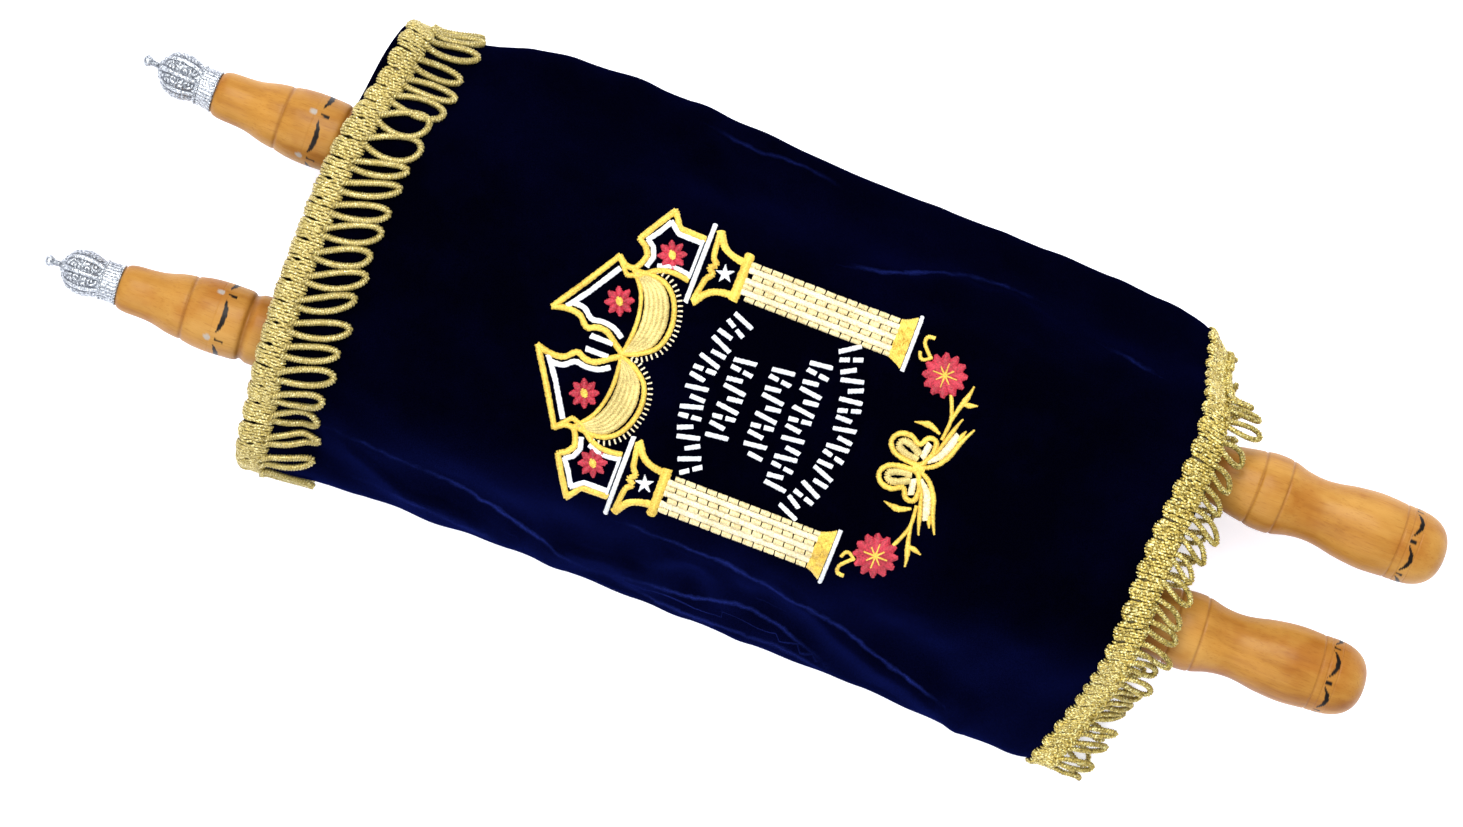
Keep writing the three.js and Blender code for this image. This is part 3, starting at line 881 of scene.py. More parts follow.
def loopPaths(fringe):
    count = loopCord["count"]
    t = np.linspace(0, 1, loopCord["points"])
    k = np.arange(count)
    share = (k + 0.5) / count
    length = (rng.uniform(*fringe["length"], count) * fromTable(fringe["short"], share))[:, None]
    spread = (fromTable(fringe["spread"], share) * rng.uniform(0.85, 1.15, count))[:, None]
    lean = fromTable(fringe["lean"], share) + rng.normal(0, 0.7, count)
    far = (1 - np.cos(2 * np.pi * t)) / 2
    out = length * far
    aside = np.cos(np.pi * t) * (loopCord["foot"] + spread * np.sin(np.pi * t) ** 2)
    aside = aside + lean[:, None] * far ** 1.3 + 0.35 * np.sin(2 * np.pi * t * 1.5 + k[:, None])
    lift = fringe["cord"] + 0.15 + (k % 2)[:, None] * 0.7 * far + 0.3 * rng.uniform(0, 1, (count, 1)) * far
    lift = lift + 0.8 * np.exp(-(out / 1.6) ** 2)        # the cord's feet are sewn on top of the braid
    root = fromTable(fringe["start"], share)[:, None] + fringe["width"] - 2.0
    return onCloth(root + out, share[:, None] + aside / clothRound, lift)


def droopLoops(fringe, path):
    # past the hem the loops have nothing under them: they bend down on to the wood or the table
    past = np.maximum(0, path[..., 0] - (mantle["hem"] - 1) - bowAt(mantle["hem"], path[..., 1]))
    amount = fringe["droop"] * rng.uniform(0.6, 1.6, (len(path), 1))
    path = path.copy()
    path[..., 2] -= amount * past ** 2
    path[..., 0] -= 0.3 * amount * past ** 2
    for roller in rollers.values():
        near = path[..., 1] - lineY(roller, path[..., 0])
        reach = loopCord["overWood"] + fringe["cord"]
        top = axisHeight + np.sqrt(np.maximum(0, reach ** 2 - near ** 2))
        under = (np.abs(near) < reach) & (path[..., 2] < top) & (path[..., 2] > axisHeight)
        path[..., 2] = np.where(under, top, path[..., 2])
    return path


def makeFringe(name):
    fringe = fringes[name]
    parts, grooveShades = braidParts(fringe)
    points, faceSets = joined(parts)
    ribbon = makePiece(name + "_braid", points, faceSets, tinsels[name])
    paint(ribbon, "valley", grooveShades)
    path, normal = loopPaths(fringe)
    if fringe["droop"]:
        path = droopLoops(fringe, path)
    path[..., 2] = np.maximum(path[..., 2], fringe["cord"] * (1 + loopCord["depth"]))
    points, faceSets = tubes(
        path, normal, fringe["cord"], loopCord["sides"], 2, loopCord["twist"], loopCord["depth"],
    )
    loops = makePiece(name + "_loops", points, faceSets, tinsels[name])
    # painted shade in the grooves between the cord's two strands
    paint(loops, "valley", 0.62 * strandGrooveShade(path, loopCord["sides"], 2, loopCord["twist"]))
    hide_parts(name + "_fringe")
    return ribbon, loops


trim = [piece for name in fringes for piece in makeFringe(name)]
print("fringes made", [len(piece.data.polygons) for piece in trim])


# rollers, turned in one piece

turning = {
    "shaft": 9.0, "sides": 120, "spigot": (4.4, 5.0), "dome": 17.0,
    # along from the wood's upper end and radius
    "upper": [
        (0.0, 6.7), (0.6, 7.3), (1.5, 7.75), (3, 8.05), (5, 8.2), (8, 8.3), (11, 8.5), (14, 9.0),
        (18.5, 10.2), (23.2, 10.9), (24.2, 11.1), (28, 11.8), (33, 12.2), (38, 12.15), (43.4, 11.9),
        (44.4, 11.3), (47, 11.8), (52, 11.9), (57.5, 11.5), (59, 9.0),
    ],
    # back from the lower end and radius, after the round end
    "lower": [
        (17, 12.75), (22, 13.1), (27, 13.15), (35, 12.3), (42, 11.0), (47, 10.75), (52, 11.4),
        (57, 12.75), (60, 13.15), (64, 13.1), (67.5, 12.5), (72, 11.7), (78, 10.4), (84, 9.0),
    ],
    # where from the wood's upper or lower end, depth and width
    "upperGrooves": [(23.8, 0.35, 0.6), (33.8, 0.06, 0.25), (44.4, 0.45, 1.3)],
    "lowerGrooves": [
        (10.9, 0.1, 0.22), (14.6, 0.14, 0.28), (17.1, 0.22, 0.36), (57.6, 0.3, 0.45), (67.0, 0.3, 0.45),
    ],
    # rings of burnt crescents: where from which end, degrees from one to the next, half their length
    # and thickness, how far they bulge away from that end, and the ticks and dots in the gaps
    "marks": [
        {
            "end": "upper", "at": 35.7, "step": 80, "reach": 6.2, "thick": 1.05, "bulge": 1.3,
            "tick": 1.6, "dot": 1.3,
        },
        {
            "end": "lower", "at": 14.3, "step": 59, "reach": 5.2, "thick": 0.95, "bulge": -2.4,
            "tick": 1.2, "dot": 0.0,
        },
    ],
    # how much thinner every crescent is than its spindle, half a tick's width, how far back a dot lies
    "thinning": 0.12, "halfTick": 0.55, "dotBack": 2.4,
}


def turnedRadius(along, length):
    upper, lower = np.array(turning["upper"]), np.array(turning["lower"])
    fromTop, fromEnd = along - crownLength, length - along
    radius = np.full_like(along, turning["shaft"])
    inUpper = fromTop <= upper[-1, 0]
    radius[inUpper] = curveThrough(upper[:, 0], upper[:, 1], fromTop[inUpper])
    inLower = (fromEnd <= lower[-1, 0]) & (fromEnd >= lower[0, 0])
    radius[inLower] = curveThrough(lower[:, 0], lower[:, 1], fromEnd[inLower])
    dome = fromEnd < lower[0, 0]
    rise = 1 - fromEnd[dome] / lower[0, 0]
    radius[dome] = lower[0, 1] * np.maximum(0, 1 - rise ** 3) ** 0.4
    cut = np.zeros_like(along)
    for distance, grooves in ((fromTop, turning["upperGrooves"]), (fromEnd, turning["lowerGrooves"])):
        for at, depth, width in grooves:
            cut = np.maximum(cut, depth * np.exp(-((distance - at) / width) ** 2) * (distance >= 0))
    return radius - np.minimum(cut, radius), cut


def ringPlaces(length):
    dome = turning["dome"]
    places = [
        crownLength + np.linspace(0, 1.2, 7),
        length - dome * (1 - np.sin(np.linspace(0, np.pi / 2, 40))),
        np.arange(crownLength + 1.2, crownLength + 60, 0.8),
        np.arange(crownLength + 60, length - 86, 12.0),
        np.arange(length - 86, length - dome, 0.8),
    ]
    for base, way, end in ((crownLength, 1, "upper"), (length, -1, "lower")):
        for at, _, width in turning[end + "Grooves"]:
            places.append(base + way * (at + np.linspace(-2.2, 2.2, 13) * width))
    for mark in turning["marks"]:
        base, way = (crownLength, 1) if mark["end"] == "upper" else (length, -1)
        places.append(base + way * (mark["at"] + mark["bulge"] / 2 + np.linspace(-3.4, 3.4, 26)))
    return np.unique(np.round(np.concatenate(places), 2))


def burntMarks(roller, along, turn, radius):
    # turn is from the top, towards -Y
    burn, dots = np.zeros_like(along), np.zeros_like(along)
    for mark in turning["marks"]:
        upper = mark["end"] == "upper"
        distance = along - crownLength if upper else roller["length"] - along
        step = math.radians(mark["step"])
        past = turn - math.radians(roller[mark["end"]])
        middle = (np.mod(past, step) - step / 2) * np.maximum(radius, 4)
        gap = (np.mod(past + step / 2, step) - step / 2) * np.maximum(radius, 4)
        bent = middle / mark["reach"]
        ragged = 0.1 * np.sin(middle * 2.3 + turn * 3)
        spine = mark["at"] + mark["bulge"] * (1 - bent ** 2)
        spindle = mark["thick"] * np.sqrt(np.clip(1 - bent ** 2, 0, 1))
        spindle = spindle - turning["thinning"] - np.abs(distance - spine + ragged)
        run = (distance - mark["at"]) * (1 if mark["bulge"] > 0 else -1)
        tick = (turning["halfTick"] - np.abs(gap - 0.12 * run)) * ((run > 0) & (run < 2 * mark["tick"]))
        burn = np.maximum(burn, np.clip(np.maximum(spindle, tick) * 5 + 0.5, 0, 1))
        if mark["dot"]:
            far = np.hypot(run + turning["dotBack"], gap)
            dots = np.maximum(dots, np.clip((mark["dot"] - far) * 2.5, 0, 0.8))
    return burn, dots


def makeRoller(side):
    roller = rollers[side]
    along = ringPlaces(roller["length"])
    radius, cut = turnedRadius(along, roller["length"])
    sides = turning["sides"]
    turn = turnsOf(sides)
    spigotRadius, spigotLength = turning["spigot"]
    along = np.concatenate([[crownLength - spigotLength, crownLength - spigotLength, crownLength], along])
    radius = np.concatenate([[0.01, spigotRadius, spigotRadius], radius])
    cut = np.concatenate([[0, 0, 0], cut])
    points = onLine(
        roller, along[:, None] + 0 * turn, radius[:, None] * np.cos(turn), radius[:, None] * np.sin(turn)
    )
    name = side + "_roller"
    piece = makePiece(name + "_turned", points, [gridFaces(len(along), sides)], wood)
    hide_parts(name)
    fromTop = np.mod(turn + np.pi / 2, 2 * np.pi) - np.pi
    burn, dots = burntMarks(roller, *np.broadcast_arrays(along[:, None], fromTop, radius[:, None]))
    paint(piece, "burn", burn.ravel())
    paint(piece, "dot", dots.ravel())
    # painted shade: the deeper the groove, the darker it is painted
    paint(piece, "groove", np.repeat(np.clip(cut / 0.7, 0, 0.55), sides))


for rollerName in rollers:
    makeRoller(rollerName)
print("rollers made")


# crowns: a grained collar, a ribbed swelling chased with scrolls, a neck and a ball

crown = {
    "sides": 150, "ribs": 8, "step": 0.27,
    # along from the tip, radius
    "body": [
        (0.05, 0.3), (0.4, 1.3), (1.1, 1.9), (1.9, 2.05), (2.8, 1.7), (3.4, 1.15), (4.6, 1.0), (5.5, 1.2),
        (5.9, 2.4), (6.5, 2.7), (6.9, 3.3), (8.0, 5.1), (9.6, 6.4), (12.0, 7.2), (14.4, 7.45), (17.0, 7.0),
        (19.4, 6.2), (20.6, 5.9), (21.1, 6.5), (26.3, 6.7), (27.0, 6.3),
    ],
    "belly": (6.9, 20.6), "collar": (21.3, 26.2),
    # a scroll's place in its panel: to the side of the middle, along, and which way it curls
    "scrolls": [(0.9, 10.2, 1), (-1.0, 12.6, -1), (1.1, 15.2, 1), (-0.8, 17.8, -1)],
    "curl": 1.25,                     # from one turn of a scroll to the next
    # height of a rib, of the groove beside it, of a scroll and of the grain, and where and how wide
    "rib": 0.34, "ribWidth": 0.5, "groove": 0.32, "grooveAt": 1.05, "grooveWidth": 0.32, "scroll": 0.2,
    "grain": 0.17, "grainRound": 34, "grainAlong": 5.4,
    # rings of beads: along, how far out, a bead's radius and how many
    "beads": [(20.9, 6.5, 0.5, 34), (26.4, 6.65, 0.5, 34), (7.1, 3.6, 0.45, 16)],
}


def chasing(along, turn, radius):
    # height of the chased work: ribs, the grooves beside them and scrolls between, then the collar's grain
    share = np.mod(turn * crown["ribs"] / (2 * np.pi), 1) - 0.5
    panel = 2 * np.pi * radius / crown["ribs"]
    fromRib = (0.5 - np.abs(share)) * panel
    aside = share * panel
    near, curl = np.full(aside.shape, 1e9), np.zeros(aside.shape)
    for side, at, way in crown["scrolls"]:
        far = np.hypot(aside - side, along - at)
        winding = np.cos(way * np.arctan2(along - at, aside - side) + 2 * np.pi * far / crown["curl"])
        curl = np.where(far < near, winding, curl)
        near = np.minimum(near, far)
    rib = np.exp(-(fromRib / crown["ribWidth"]) ** 2)
    groove = np.exp(-((fromRib - crown["grooveAt"]) / crown["grooveWidth"]) ** 2)
    work = crown["rib"] * rib - crown["groove"] * groove
    work = work + crown["scroll"] * np.clip(curl * 1.6, -1, 1) * (fromRib > 1.3)
    first, last = crown["belly"]
    ends = np.clip((along - first) / 1.2, 0, 1) * np.clip((last - along) / 1.0, 0, 1)
    teeth = np.cos(turn * crown["grainRound"])
    grain = crown["grain"] * np.sign(teeth) * np.abs(teeth * np.sin(along * crown["grainAlong"])) ** 0.5
    low, high = crown["collar"]
    return work * ends + grain * ((along > low) & (along < high))


def makeCrown(side):
    roller = rollers[side]
    body = np.array(crown["body"])
    along = np.unique(np.concatenate([body[:, 0], np.arange(body[0, 0], body[-1, 0], crown["step"])]))
    flat = np.interp(along, body[:, 0], body[:, 1])
    radius = np.where(along < 20, curveThrough(body[:, 0], body[:, 1], along), flat)[:, None]
    turn = turnsOf(crown["sides"])
    relief = chasing(along[:, None], turn, radius)
    full = np.maximum(radius + relief, 0.02)
    # each crown sits a little askew on its spigot
    lean = roller["lean"] * (1 - along[:, None] / crownLength)
    points = onLine(roller, along[:, None] + 0 * turn, lean + full * np.cos(turn), full * np.sin(turn))
    parts = [(points.reshape(-1, 3), [gridFaces(len(along), crown["sides"])])]
    # painted shade on the chased hollows, round the neck and past the collar's end
    neck = 0.6 * np.exp(-((along[:, None] - 4.5) / 1.2) ** 2) + 0.5 * (along[:, None] > 26.6)
    recessShade = [np.clip(0.06 - relief * 3.2 + neck, 0, 0.85).ravel()]
    for ring in crown["beads"]:
        parts.append(beadRing(roller, *ring))
    points, faceSets = joined(parts)
    name = side + "_crown"
    piece = makePiece(name + "_cast", points, faceSets, silver)
    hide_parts(name)
    recessShade.append(np.zeros(len(piece.data.vertices) - len(recessShade[0])))
    paint(piece, "recessShade", np.concatenate(recessShade))


def bead(centre, size):
    rings, sides = 6, 10
    polar = np.linspace(0.02, np.pi - 0.02, rings)[:, None]
    turn = turnsOf(sides)[None]
    ball = np.stack([
        np.sin(polar) * np.cos(turn), np.sin(polar) * np.sin(turn), np.cos(polar) + 0 * turn,
    ], axis=-1)
    return (np.asarray(centre) + ball * size).reshape(-1, 3), [gridFaces(rings, sides)]


def beadRing(roller, at, reach, size, count):
    made = []
    lean = roller["lean"] * (1 - at / crownLength)
    for k in range(count):
        a = k * 2 * np.pi / count
        side, up = lean + reach * math.cos(a), reach * math.sin(a)
        made.append(bead(onLine(roller, np.array(at), np.array(side), np.array(up)), size))
    return joined(made)


for rollerName in rollers:
    makeCrown(rollerName)
print("crowns made")


# parchment: a wound roll on each roller, its turns showing at the ends, and the sheet between them

parchment = {"top": -141.5, "foot": 128.0, "pitch": 0.62, "bore": 9.4, "sides": 120}


def makeParchment():
    parts, turnShades = [], []
    sides = parchment["sides"]
    turn = turnsOf(sides)
    for roller in rollers.values():
        angle = math.atan(roller["slope"])
        ends = [(x - roller["tip"]) / math.cos(angle) for x in (parchment["top"], parchment["foot"])]
        radii = np.arange(parchment["bore"], rollRadius, parchment["pitch"] / 2)
        step = np.where(np.arange(len(radii)) % 2 == 0, 0.0, 0.35)
        uneven = 0.35 * np.sin(radii * 1.7)
        radiusList = np.concatenate([radii, [rollRadius], [rollRadius], radii[::-1], radii[:1]])
        alongList = np.concatenate([
            ends[0] + step + uneven, [ends[0] + 0.3], [ends[1] - 0.3],
            (ends[1] - step - uneven)[::-1], (ends[0] + step + uneven)[:1],
        ])
        # every second turn, set back at the ends, is painted darker: painted shade in the gaps between turns
        marks = np.concatenate([step, [0, 0], step[::-1], [0]]) / 0.35
        spiral = parchment["pitch"] * turn / (2 * np.pi)
        inner = (radiusList < rollRadius - 0.7) & (radiusList > parchment["bore"] + 0.4)
        reach = radiusList[:, None] + spiral * inner[:, None]
        points = onLine(roller, alongList[:, None] + 0 * turn, reach * np.cos(turn), reach * np.sin(turn))
        parts.append((points.reshape(-1, 3), [gridFaces(len(alongList), sides)]))
        turnShades.append(np.repeat(marks * 0.6, sides))
    # the sheet crosses under both rolls
    xs = np.linspace(parchment["top"] + 1, parchment["foot"] - 1, 30)
    share = np.linspace(0, 1, 12)
    low = axisHeight - rollRadius
    right, left = lineY(rollers["right"], xs)[:, None], lineY(rollers["left"], xs)[:, None]
    y = right + (left - right) * share
    for height in (low + 0.05, low + 0.45):
        z = height + 0.25 * np.sin(share * np.pi) * np.sin(xs / 30)[:, None]
        points = np.stack([xs[:, None] + 0 * share, y, z], axis=-1)
        parts.append((points.reshape(-1, 3), [gridFaces(len(xs), len(share), closed=False)]))
        turnShades.append(np.zeros(points.size // 3))
    points, faceSets = joined(parts)
    piece = makePiece("parchment_rolls", points, faceSets, parchmentSkin)
    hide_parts("parchment")
    paint(piece, "turn", np.concatenate(turnShades))


makeParchment()
print("parchment made")


# embroidery, in its own axes: x along the mantle, y from the design's line of symmetry

embroidery = {
    "centre": (12.2, -2.0),           # where its origin lies on the mantle
    "scale": 0.98,
    "pitch": 0.52,                    # from one thread to the next
    "thread": 0.34,                   # radius
    "longest": 5.0,                   # stitch in a filled area
}
sewn = {name: [] for name in threads}


def addStitches(thread, starts, ends, height, mirrored):
    rows = np.hstack([starts, ends, np.full((len(starts), 1), height)])
    sewn[thread].append(rows)
    if mirrored:
        sewn[thread].append(rows * np.array([1, -1, 1, -1, 1]))


def resample(path, pitch):
    path = np.asarray(path, dtype=float)
    lengths = lengthsAlong(path)
    count = max(2, int(round(lengths[-1] / pitch)) + 1)
    wanted = np.linspace(0, lengths[-1], count)
    points = np.stack([np.interp(wanted, lengths, path[:, k]) for k in (0, 1)], axis=-1)
    return points, wanted / lengths[-1]


def satin(thread, path, width, height=None, slant=0.25, mirrored=True):
    # threads laid across a path, from one side of the band to the other
    points, share = resample(path, embroidery["pitch"])
    tangent = unit(np.gradient(points, axis=0))
    across = np.stack([-tangent[:, 1], tangent[:, 0]], axis=-1)
    wide = np.interp(share, np.linspace(0, 1, len(width)), width) if hasattr(width, "__len__") else width
    half = (wide / 2 * np.ones(len(points)))[:, None]
    half = half * rng.uniform(0.9, 1.08, half.shape)
    drift = tangent * (slant * half + rng.normal(0, 0.07, half.shape))
    starts, ends = points - across * half - drift, points + across * half + drift
    rise = 0.42 + 0.16 * float(np.mean(wide)) if height is None else height
    addStitches(thread, starts, ends, rise, mirrored)


def curved(thread, points, *shape):
    satin(thread, smoothPath(points), *shape)


def offsetPath(path, distance):
    path = np.asarray(path, dtype=float)
    tangent = unit(np.gradient(path, axis=0))
    return path + distance * np.stack([-tangent[:, 1], tangent[:, 0]], axis=-1)


def arc(centre, radius, start, end, steps=24):
    turn = np.radians(np.linspace(start, end, steps))
    return np.stack([centre[0] + radius * np.cos(turn), centre[1] + radius * np.sin(turn)], axis=-1)


def filled(thread, outline, angle, height, mirrored=True):
    # rows of parallel threads that fill an outline
    outline = np.asarray(outline, dtype=float)
    c, s = math.cos(math.radians(angle)), math.sin(math.radians(angle))
    turned = outline @ np.array([[c, -s], [s, c]])
    pitch = embroidery["pitch"]
    starts, ends = [], []
    nextPoints = np.roll(turned, -1, axis=0)
    for level in np.arange(turned[:, 1].min() + pitch / 2, turned[:, 1].max(), pitch):
        crossing = (turned[:, 1] > level) != (nextPoints[:, 1] > level)
        a, b = turned[crossing], nextPoints[crossing]
        hits = np.sort(a[:, 0] + (level - a[:, 1]) / (b[:, 1] - a[:, 1]) * (b[:, 0] - a[:, 0]))
        for low, high in zip(hits[::2], hits[1::2]):
            parts = max(1, math.ceil((high - low) / embroidery["longest"]))
            cuts = np.linspace(low, high, parts + 1)
            cuts[1:-1] += rng.uniform(-0.8, 0.8, parts - 1)
            for p, q in zip(cuts[:-1], cuts[1:]):
                starts.append((p - rng.uniform(0, 0.15), level))
                ends.append((q + rng.uniform(0, 0.15), level))
    back = np.array([[c, s], [-s, c]])
    starts, ends = np.array(starts) @ back, np.array(ends) @ back
    addStitches(thread, starts, ends, height, mirrored)


def flower(centre, radius, petals, heart, fullness=0.72):
    for k in range(petals):
        a = 2 * math.pi * (k + 0.5) / petals
        way = np.array([math.cos(a), math.sin(a)])
        path = [np.array(centre) + way * r for r in (heart * 0.5, radius)]
        wide = 2 * math.pi * radius / petals * fullness
        satin("red", path, [wide * 0.35, wide * 0.7, wide, wide * 0.9, wide * 0.4], 0.75)


def columns():
    shaft = {"from": -27.9, "to": 25.0, "middle": 37.8}
    run = [shaft["from"], shaft["to"]]
    for y in (3.8, 0.0, -3.8):
        satin("cream", [(x, shaft["middle"] + y) for x in run], 2.1, 0.9, 0.1)
    for n, y in enumerate((5.75, 1.9, -1.9, -5.75)):
        start = shaft["from"] + (n % 2) * 1.9
        while start < shaft["to"] - 1:
            stop = min(start + 2.7, shaft["to"])
            row = shaft["middle"] + y
            satin("straw", [(start, row), (stop, row)], 1.7, 1.05, 0.1)
            start += 3.8
    satin("gold", [(-29.7, 30.2), (-29.7, 46.2)], 3.4, 1.1, 0.1)
    filled("gold", [(25, 31.4), (25, 44.4), (27.5, 45.2), (30.2, 47.0), (30.2, 28.9),
        (27.5, 30.4)], 90, 0.95)
    satin("white", [(31.2, 28.6), (31.2, 47.4)], 1.5, 0.75, 0.1)
    # the capital: two curved stems open away from the bar, closed by a wavy line, with a star inside
    curved("gold", [(-31.2, 43.2), (-35.2, 44.0), (-38.6, 45.8),
        (-41.6, 50.0)], [2.6, 2.2, 2.6, 3.0])
    curved("gold", [(-31.2, 31.6), (-35.2, 31.0), (-38.6, 29.2),
        (-42.0, 25.0)], [2.6, 2.2, 2.6, 3.0])
    curved("gold", [
        (-41.7, 49.6), (-41.2, 44.2), (-40.6, 41.0), (-38.9, 39.2), (-40.9, 37.5),
        (-38.9, 35.8), (-40.6, 33.8), (-41.3, 30.5), (-42.1, 25.4),
    ], 2.0)
    for k in range(5):
        a = math.radians(72 * k + 180)
        tip = np.array([-35.3 + 2.9 * math.cos(a), 37.4 + 2.9 * math.sin(a)])
        satin("white", [(-35.3, 37.4), tip], [1.7, 1.4, 0.3], 0.7)


def roof():
    satin("white", [(-44.2, 24.2), (-44.2, 51.4)], 1.7, 0.85, 0.1)
    corner = [(-45.6, 45.9), (-54.6, 46.2), (-58.2, 51.2), (-62.4, 44.4), (-66.0, 38.2),
        (-63.2, 36.6), (-61.4, 34.0), (-62.4, 31.0)]
    satin("gold", corner, 2.1, 1.0, 0.0)
    curved("gold", [(-62.4, 31.0), (-64.0, 28.6), (-67.0, 28.4), (-70.0, 30.6)], 2.0, 1.0, 0.0)
    satin("white", [(-46, 44.2), (-54.4, 44.3), (-58.0, 47.3), (-60.6, 42.6), (-63.3, 38.9),
        (-60.8, 37.4), (-59.4, 34.2), (-60.4, 30.6)], 1.8, 0.75, 0.0)
    curved("gold", [(-46.0, 31.0), (-52.0, 31.6), (-57.0, 30.2), (-61.6, 26.6)], 1.9, 0.95, 0.0)
    curved("white", [(-46.0, 32.8), (-52.0, 33.4), (-57.0, 32.0)], 1.6, 0.7, 0.0)
    satin("white", [(-46.0, 32.0), (-46.0, 45.0)], 1.1, 0.7, 0.0)
    # the great leaf of the crown
    satin("gold", [(-70.0, 30.6), (-77.5, 18.4), (-85.0, 6.9)], 2.1, 1.0, 0.0)
    satin("white", [(-68.6, 26.6), (-75.4, 15.6), (-80.4, 8.9)], 1.9, 0.75, 0.0)
    satin("gold", [(-61.6, 26.6), (-65.6, 25.4), (-69.2, 29.4)], 1.7, 0.9, 0.0)
    curved("gold", [(-85.0, 6.9), (-80.0, 8.0), (-75.4, 7.4), (-72.0, 4.4), (-68.6, 5.6),
        (-65.0, 5.4), (-61.0, 2.6), (-57.6, 0.4)], 2.1, 1.0, 0.0)
    curved("white", [(-79.6, 10.4), (-75.0, 10.2), (-71.4, 7.6), (-67.6, 8.0), (-63.4, 7.4),
        (-60.0, 5.4)], 1.9, 0.75, 0.0)
    satin("white", [(-69.4, 2.3), (-62.0, 2.3)], 1.9, 0.75, 0.1)
    for centre, radius in (((-53.9, 37.0), 4.6), ((-64.8, 16.4), 4.7)):
        flower(centre, radius, 8, 1.6)
        for y in (1, -1):
            middle = (centre[0], centre[1] * y)
            filled("gold", arc(middle, 1.5, 0, 360, 14)[:-1], 45, 1.2, mirrored=False)
    # the swag: couched metal threads between two gold cords, and its row of ticks
    inner = smoothPath([(-64.0, 27.8), (-59.6, 22.4), (-57.4, 16.0), (-56.8, 9.0), (-57.6, 1.0)])
    outer = smoothPath([(-64.0, 27.8), (-54.4, 28.0), (-48.4, 23.6), (-45.6, 15.2), (-47.0, 7.2),
        (-52.0, 2.6), (-57.6, 0.4)])
    innerLine, outerLine = resample(inner, 0.8)[0], resample(outer, 0.8)[0]
    places = np.linspace(0, 1, 34)
    a, b = (
        np.stack([np.interp(places, np.linspace(0, 1, len(line)), line[:, n]) for n in (0, 1)], axis=-1)
        for line in (innerLine, outerLine)
    )
    for share in (0.2, 0.34, 0.48, 0.62, 0.76):
        satin("metal", a * (1 - share) + b * share, [0.5, 1.9, 2.0, 1.9, 0.5], 0.7, 0.9)
    satin("gold", inner, 1.5, 0.9, 0.0)
    satin("gold", outer, 1.8, 0.95, 0.0)
    edge, _ = resample(outer, 1.55)
    rim, tips = offsetPath(edge, 1.45), offsetPath(edge, 2.55)
    for p, q in list(zip(rim, tips))[5:-2]:
        satin("cream", [p, q], 0.6, 0.55, 0.0)


def garland():
    flower((45.0, 32.1), 7.2, 12, 1.4, 1.0)
    for y in (1, -1):
        for k in range(8):
            a = 2 * math.pi * k / 8
            reach = 3.9 if k % 2 == 0 else 3.0
            centre = np.array([45.0, 32.1 * y])
            tip = centre + reach * np.array([math.cos(a), math.sin(a)])
            satin("gold", [centre, tip], [0.9, 0.7, 0.5], 1.3, mirrored=False)
    curved("gold", [(37.4, 42.4), (35.2, 42.0), (35.0, 39.8), (36.4, 38.0), (38.6, 35.8)], 1.3)
    curved("gold", [(38.8, 36.0), (36.6, 34.4), (35.2, 34.9), (34.6, 36.4)], 1.2)
    curved("gold", [(49.4, 26.6), (51.2, 22.4), (52.3, 18.2), (51.8, 12.0)], 1.3)
    curved("gold", [(52.2, 18.0), (53.4, 23.6), (54.9, 28.6),
        (55.4, 31.8)], [1.2, 1.4, 2.0, 0.6])
    satin("gold", [(53.6, 25.4), (56.4, 25.6), (58.6, 26.4)], [1.0, 2.0, 0.6])
    curved("gold", [(50.2, 13.4), (46.0, 14.9), (41.4, 14.2)], [1.0, 2.4, 0.5])
    # bow: two loops and two forked tails round a knot
    loop = smoothPath([
        (47.4, 1.0), (43.0, 1.2), (38.4, 2.4), (36.2, 5.6), (38.0, 8.8), (42.0, 9.4), (45.4, 7.6),
        (47.4, 10.6), (50.2, 10.6), (50.8, 7.2), (49.6, 3.6), (48.0, 1.0),
    ])
    satin("gold", loop, 1.8, 1.0, 0.2)
    curved("metal", [(46.4, 2.8), (42.4, 3.2), (39.2, 4.8), (40.2, 7.0), (43.4, 6.4),
        (46.6, 4.6)], 2.4, 0.75)
    curved("cream", [(47.8, 4.0), (48.2, 6.2), (48.6, 8.8)], 2.2, 0.75)
    curved("gold", [(48.2, 0.4), (52.6, 2.6), (56.0, 7.2), (58.0, 13.0),
        (60.6, 18.4)], [1.4, 1.7, 1.8, 1.6, 0.8], 1.0)
    curved("cream", [(50.2, 3.4), (53.2, 6.4), (55.0, 10.6),
        (56.2, 15.0)], [1.6, 2.4, 2.6, 2.2], 0.85)
    curved("gold", [(49.4, 3.4), (51.6, 7.0), (53.2, 12.0), (55.2, 18.8),
        (55.8, 20.4)], [1.0, 1.4, 1.5, 1.6, 0.6], 1.0)
    satin("gold", [(57.0, 13.6), (58.2, 17.0)], [1.2, 1.6, 0.5], 0.95)
    filled("gold", arc((47.9, 0), 2.2, 0, 360, 16)[:-1], 90, 1.35, mirrored=False)


def strokes():
    # rows of plain bars where the mantle carries an inscription
    rows = [
        {"x": -30.5, "to": 25.0, "from": -27.5, "bend": 0.0105},
        {"x": -18.5, "to": 12.5, "from": -14.0, "bend": 0.0},
        {"x": -5.5, "to": 14.0, "from": -15.5, "bend": 0.0},
        {"x": 5.5, "to": 20.5, "from": -22.5, "bend": 0.0},
        {"x": 20.5, "to": 29.0, "from": -29.0, "bend": -0.0095},
    ]
    # whole bars, broken ones and short ones by turns
    barKinds = [[(-3.6, 3.6)], [(-3.6, -0.9), (0.9, 3.6)], [(-3.6, 1.2)], [(-3.6, 3.6)], [(-1.0, 3.6)]]
    for row in rows:
        bars = int((row["to"] - row["from"]) / 3.1) + 1
        for k, y in enumerate(np.linspace(row["to"], row["from"], bars)):
            middle = np.array([row["x"] + row["bend"] * y * y, y])
            way = unit(np.array([1.0, -2 * row["bend"] * y + 0.12 * (-1) ** k]))
            for low, high in barKinds[k % len(barKinds)]:
                satin("white", [middle + way * low, middle + way * high], 1.6, 0.85, 0.1, mirrored=False)


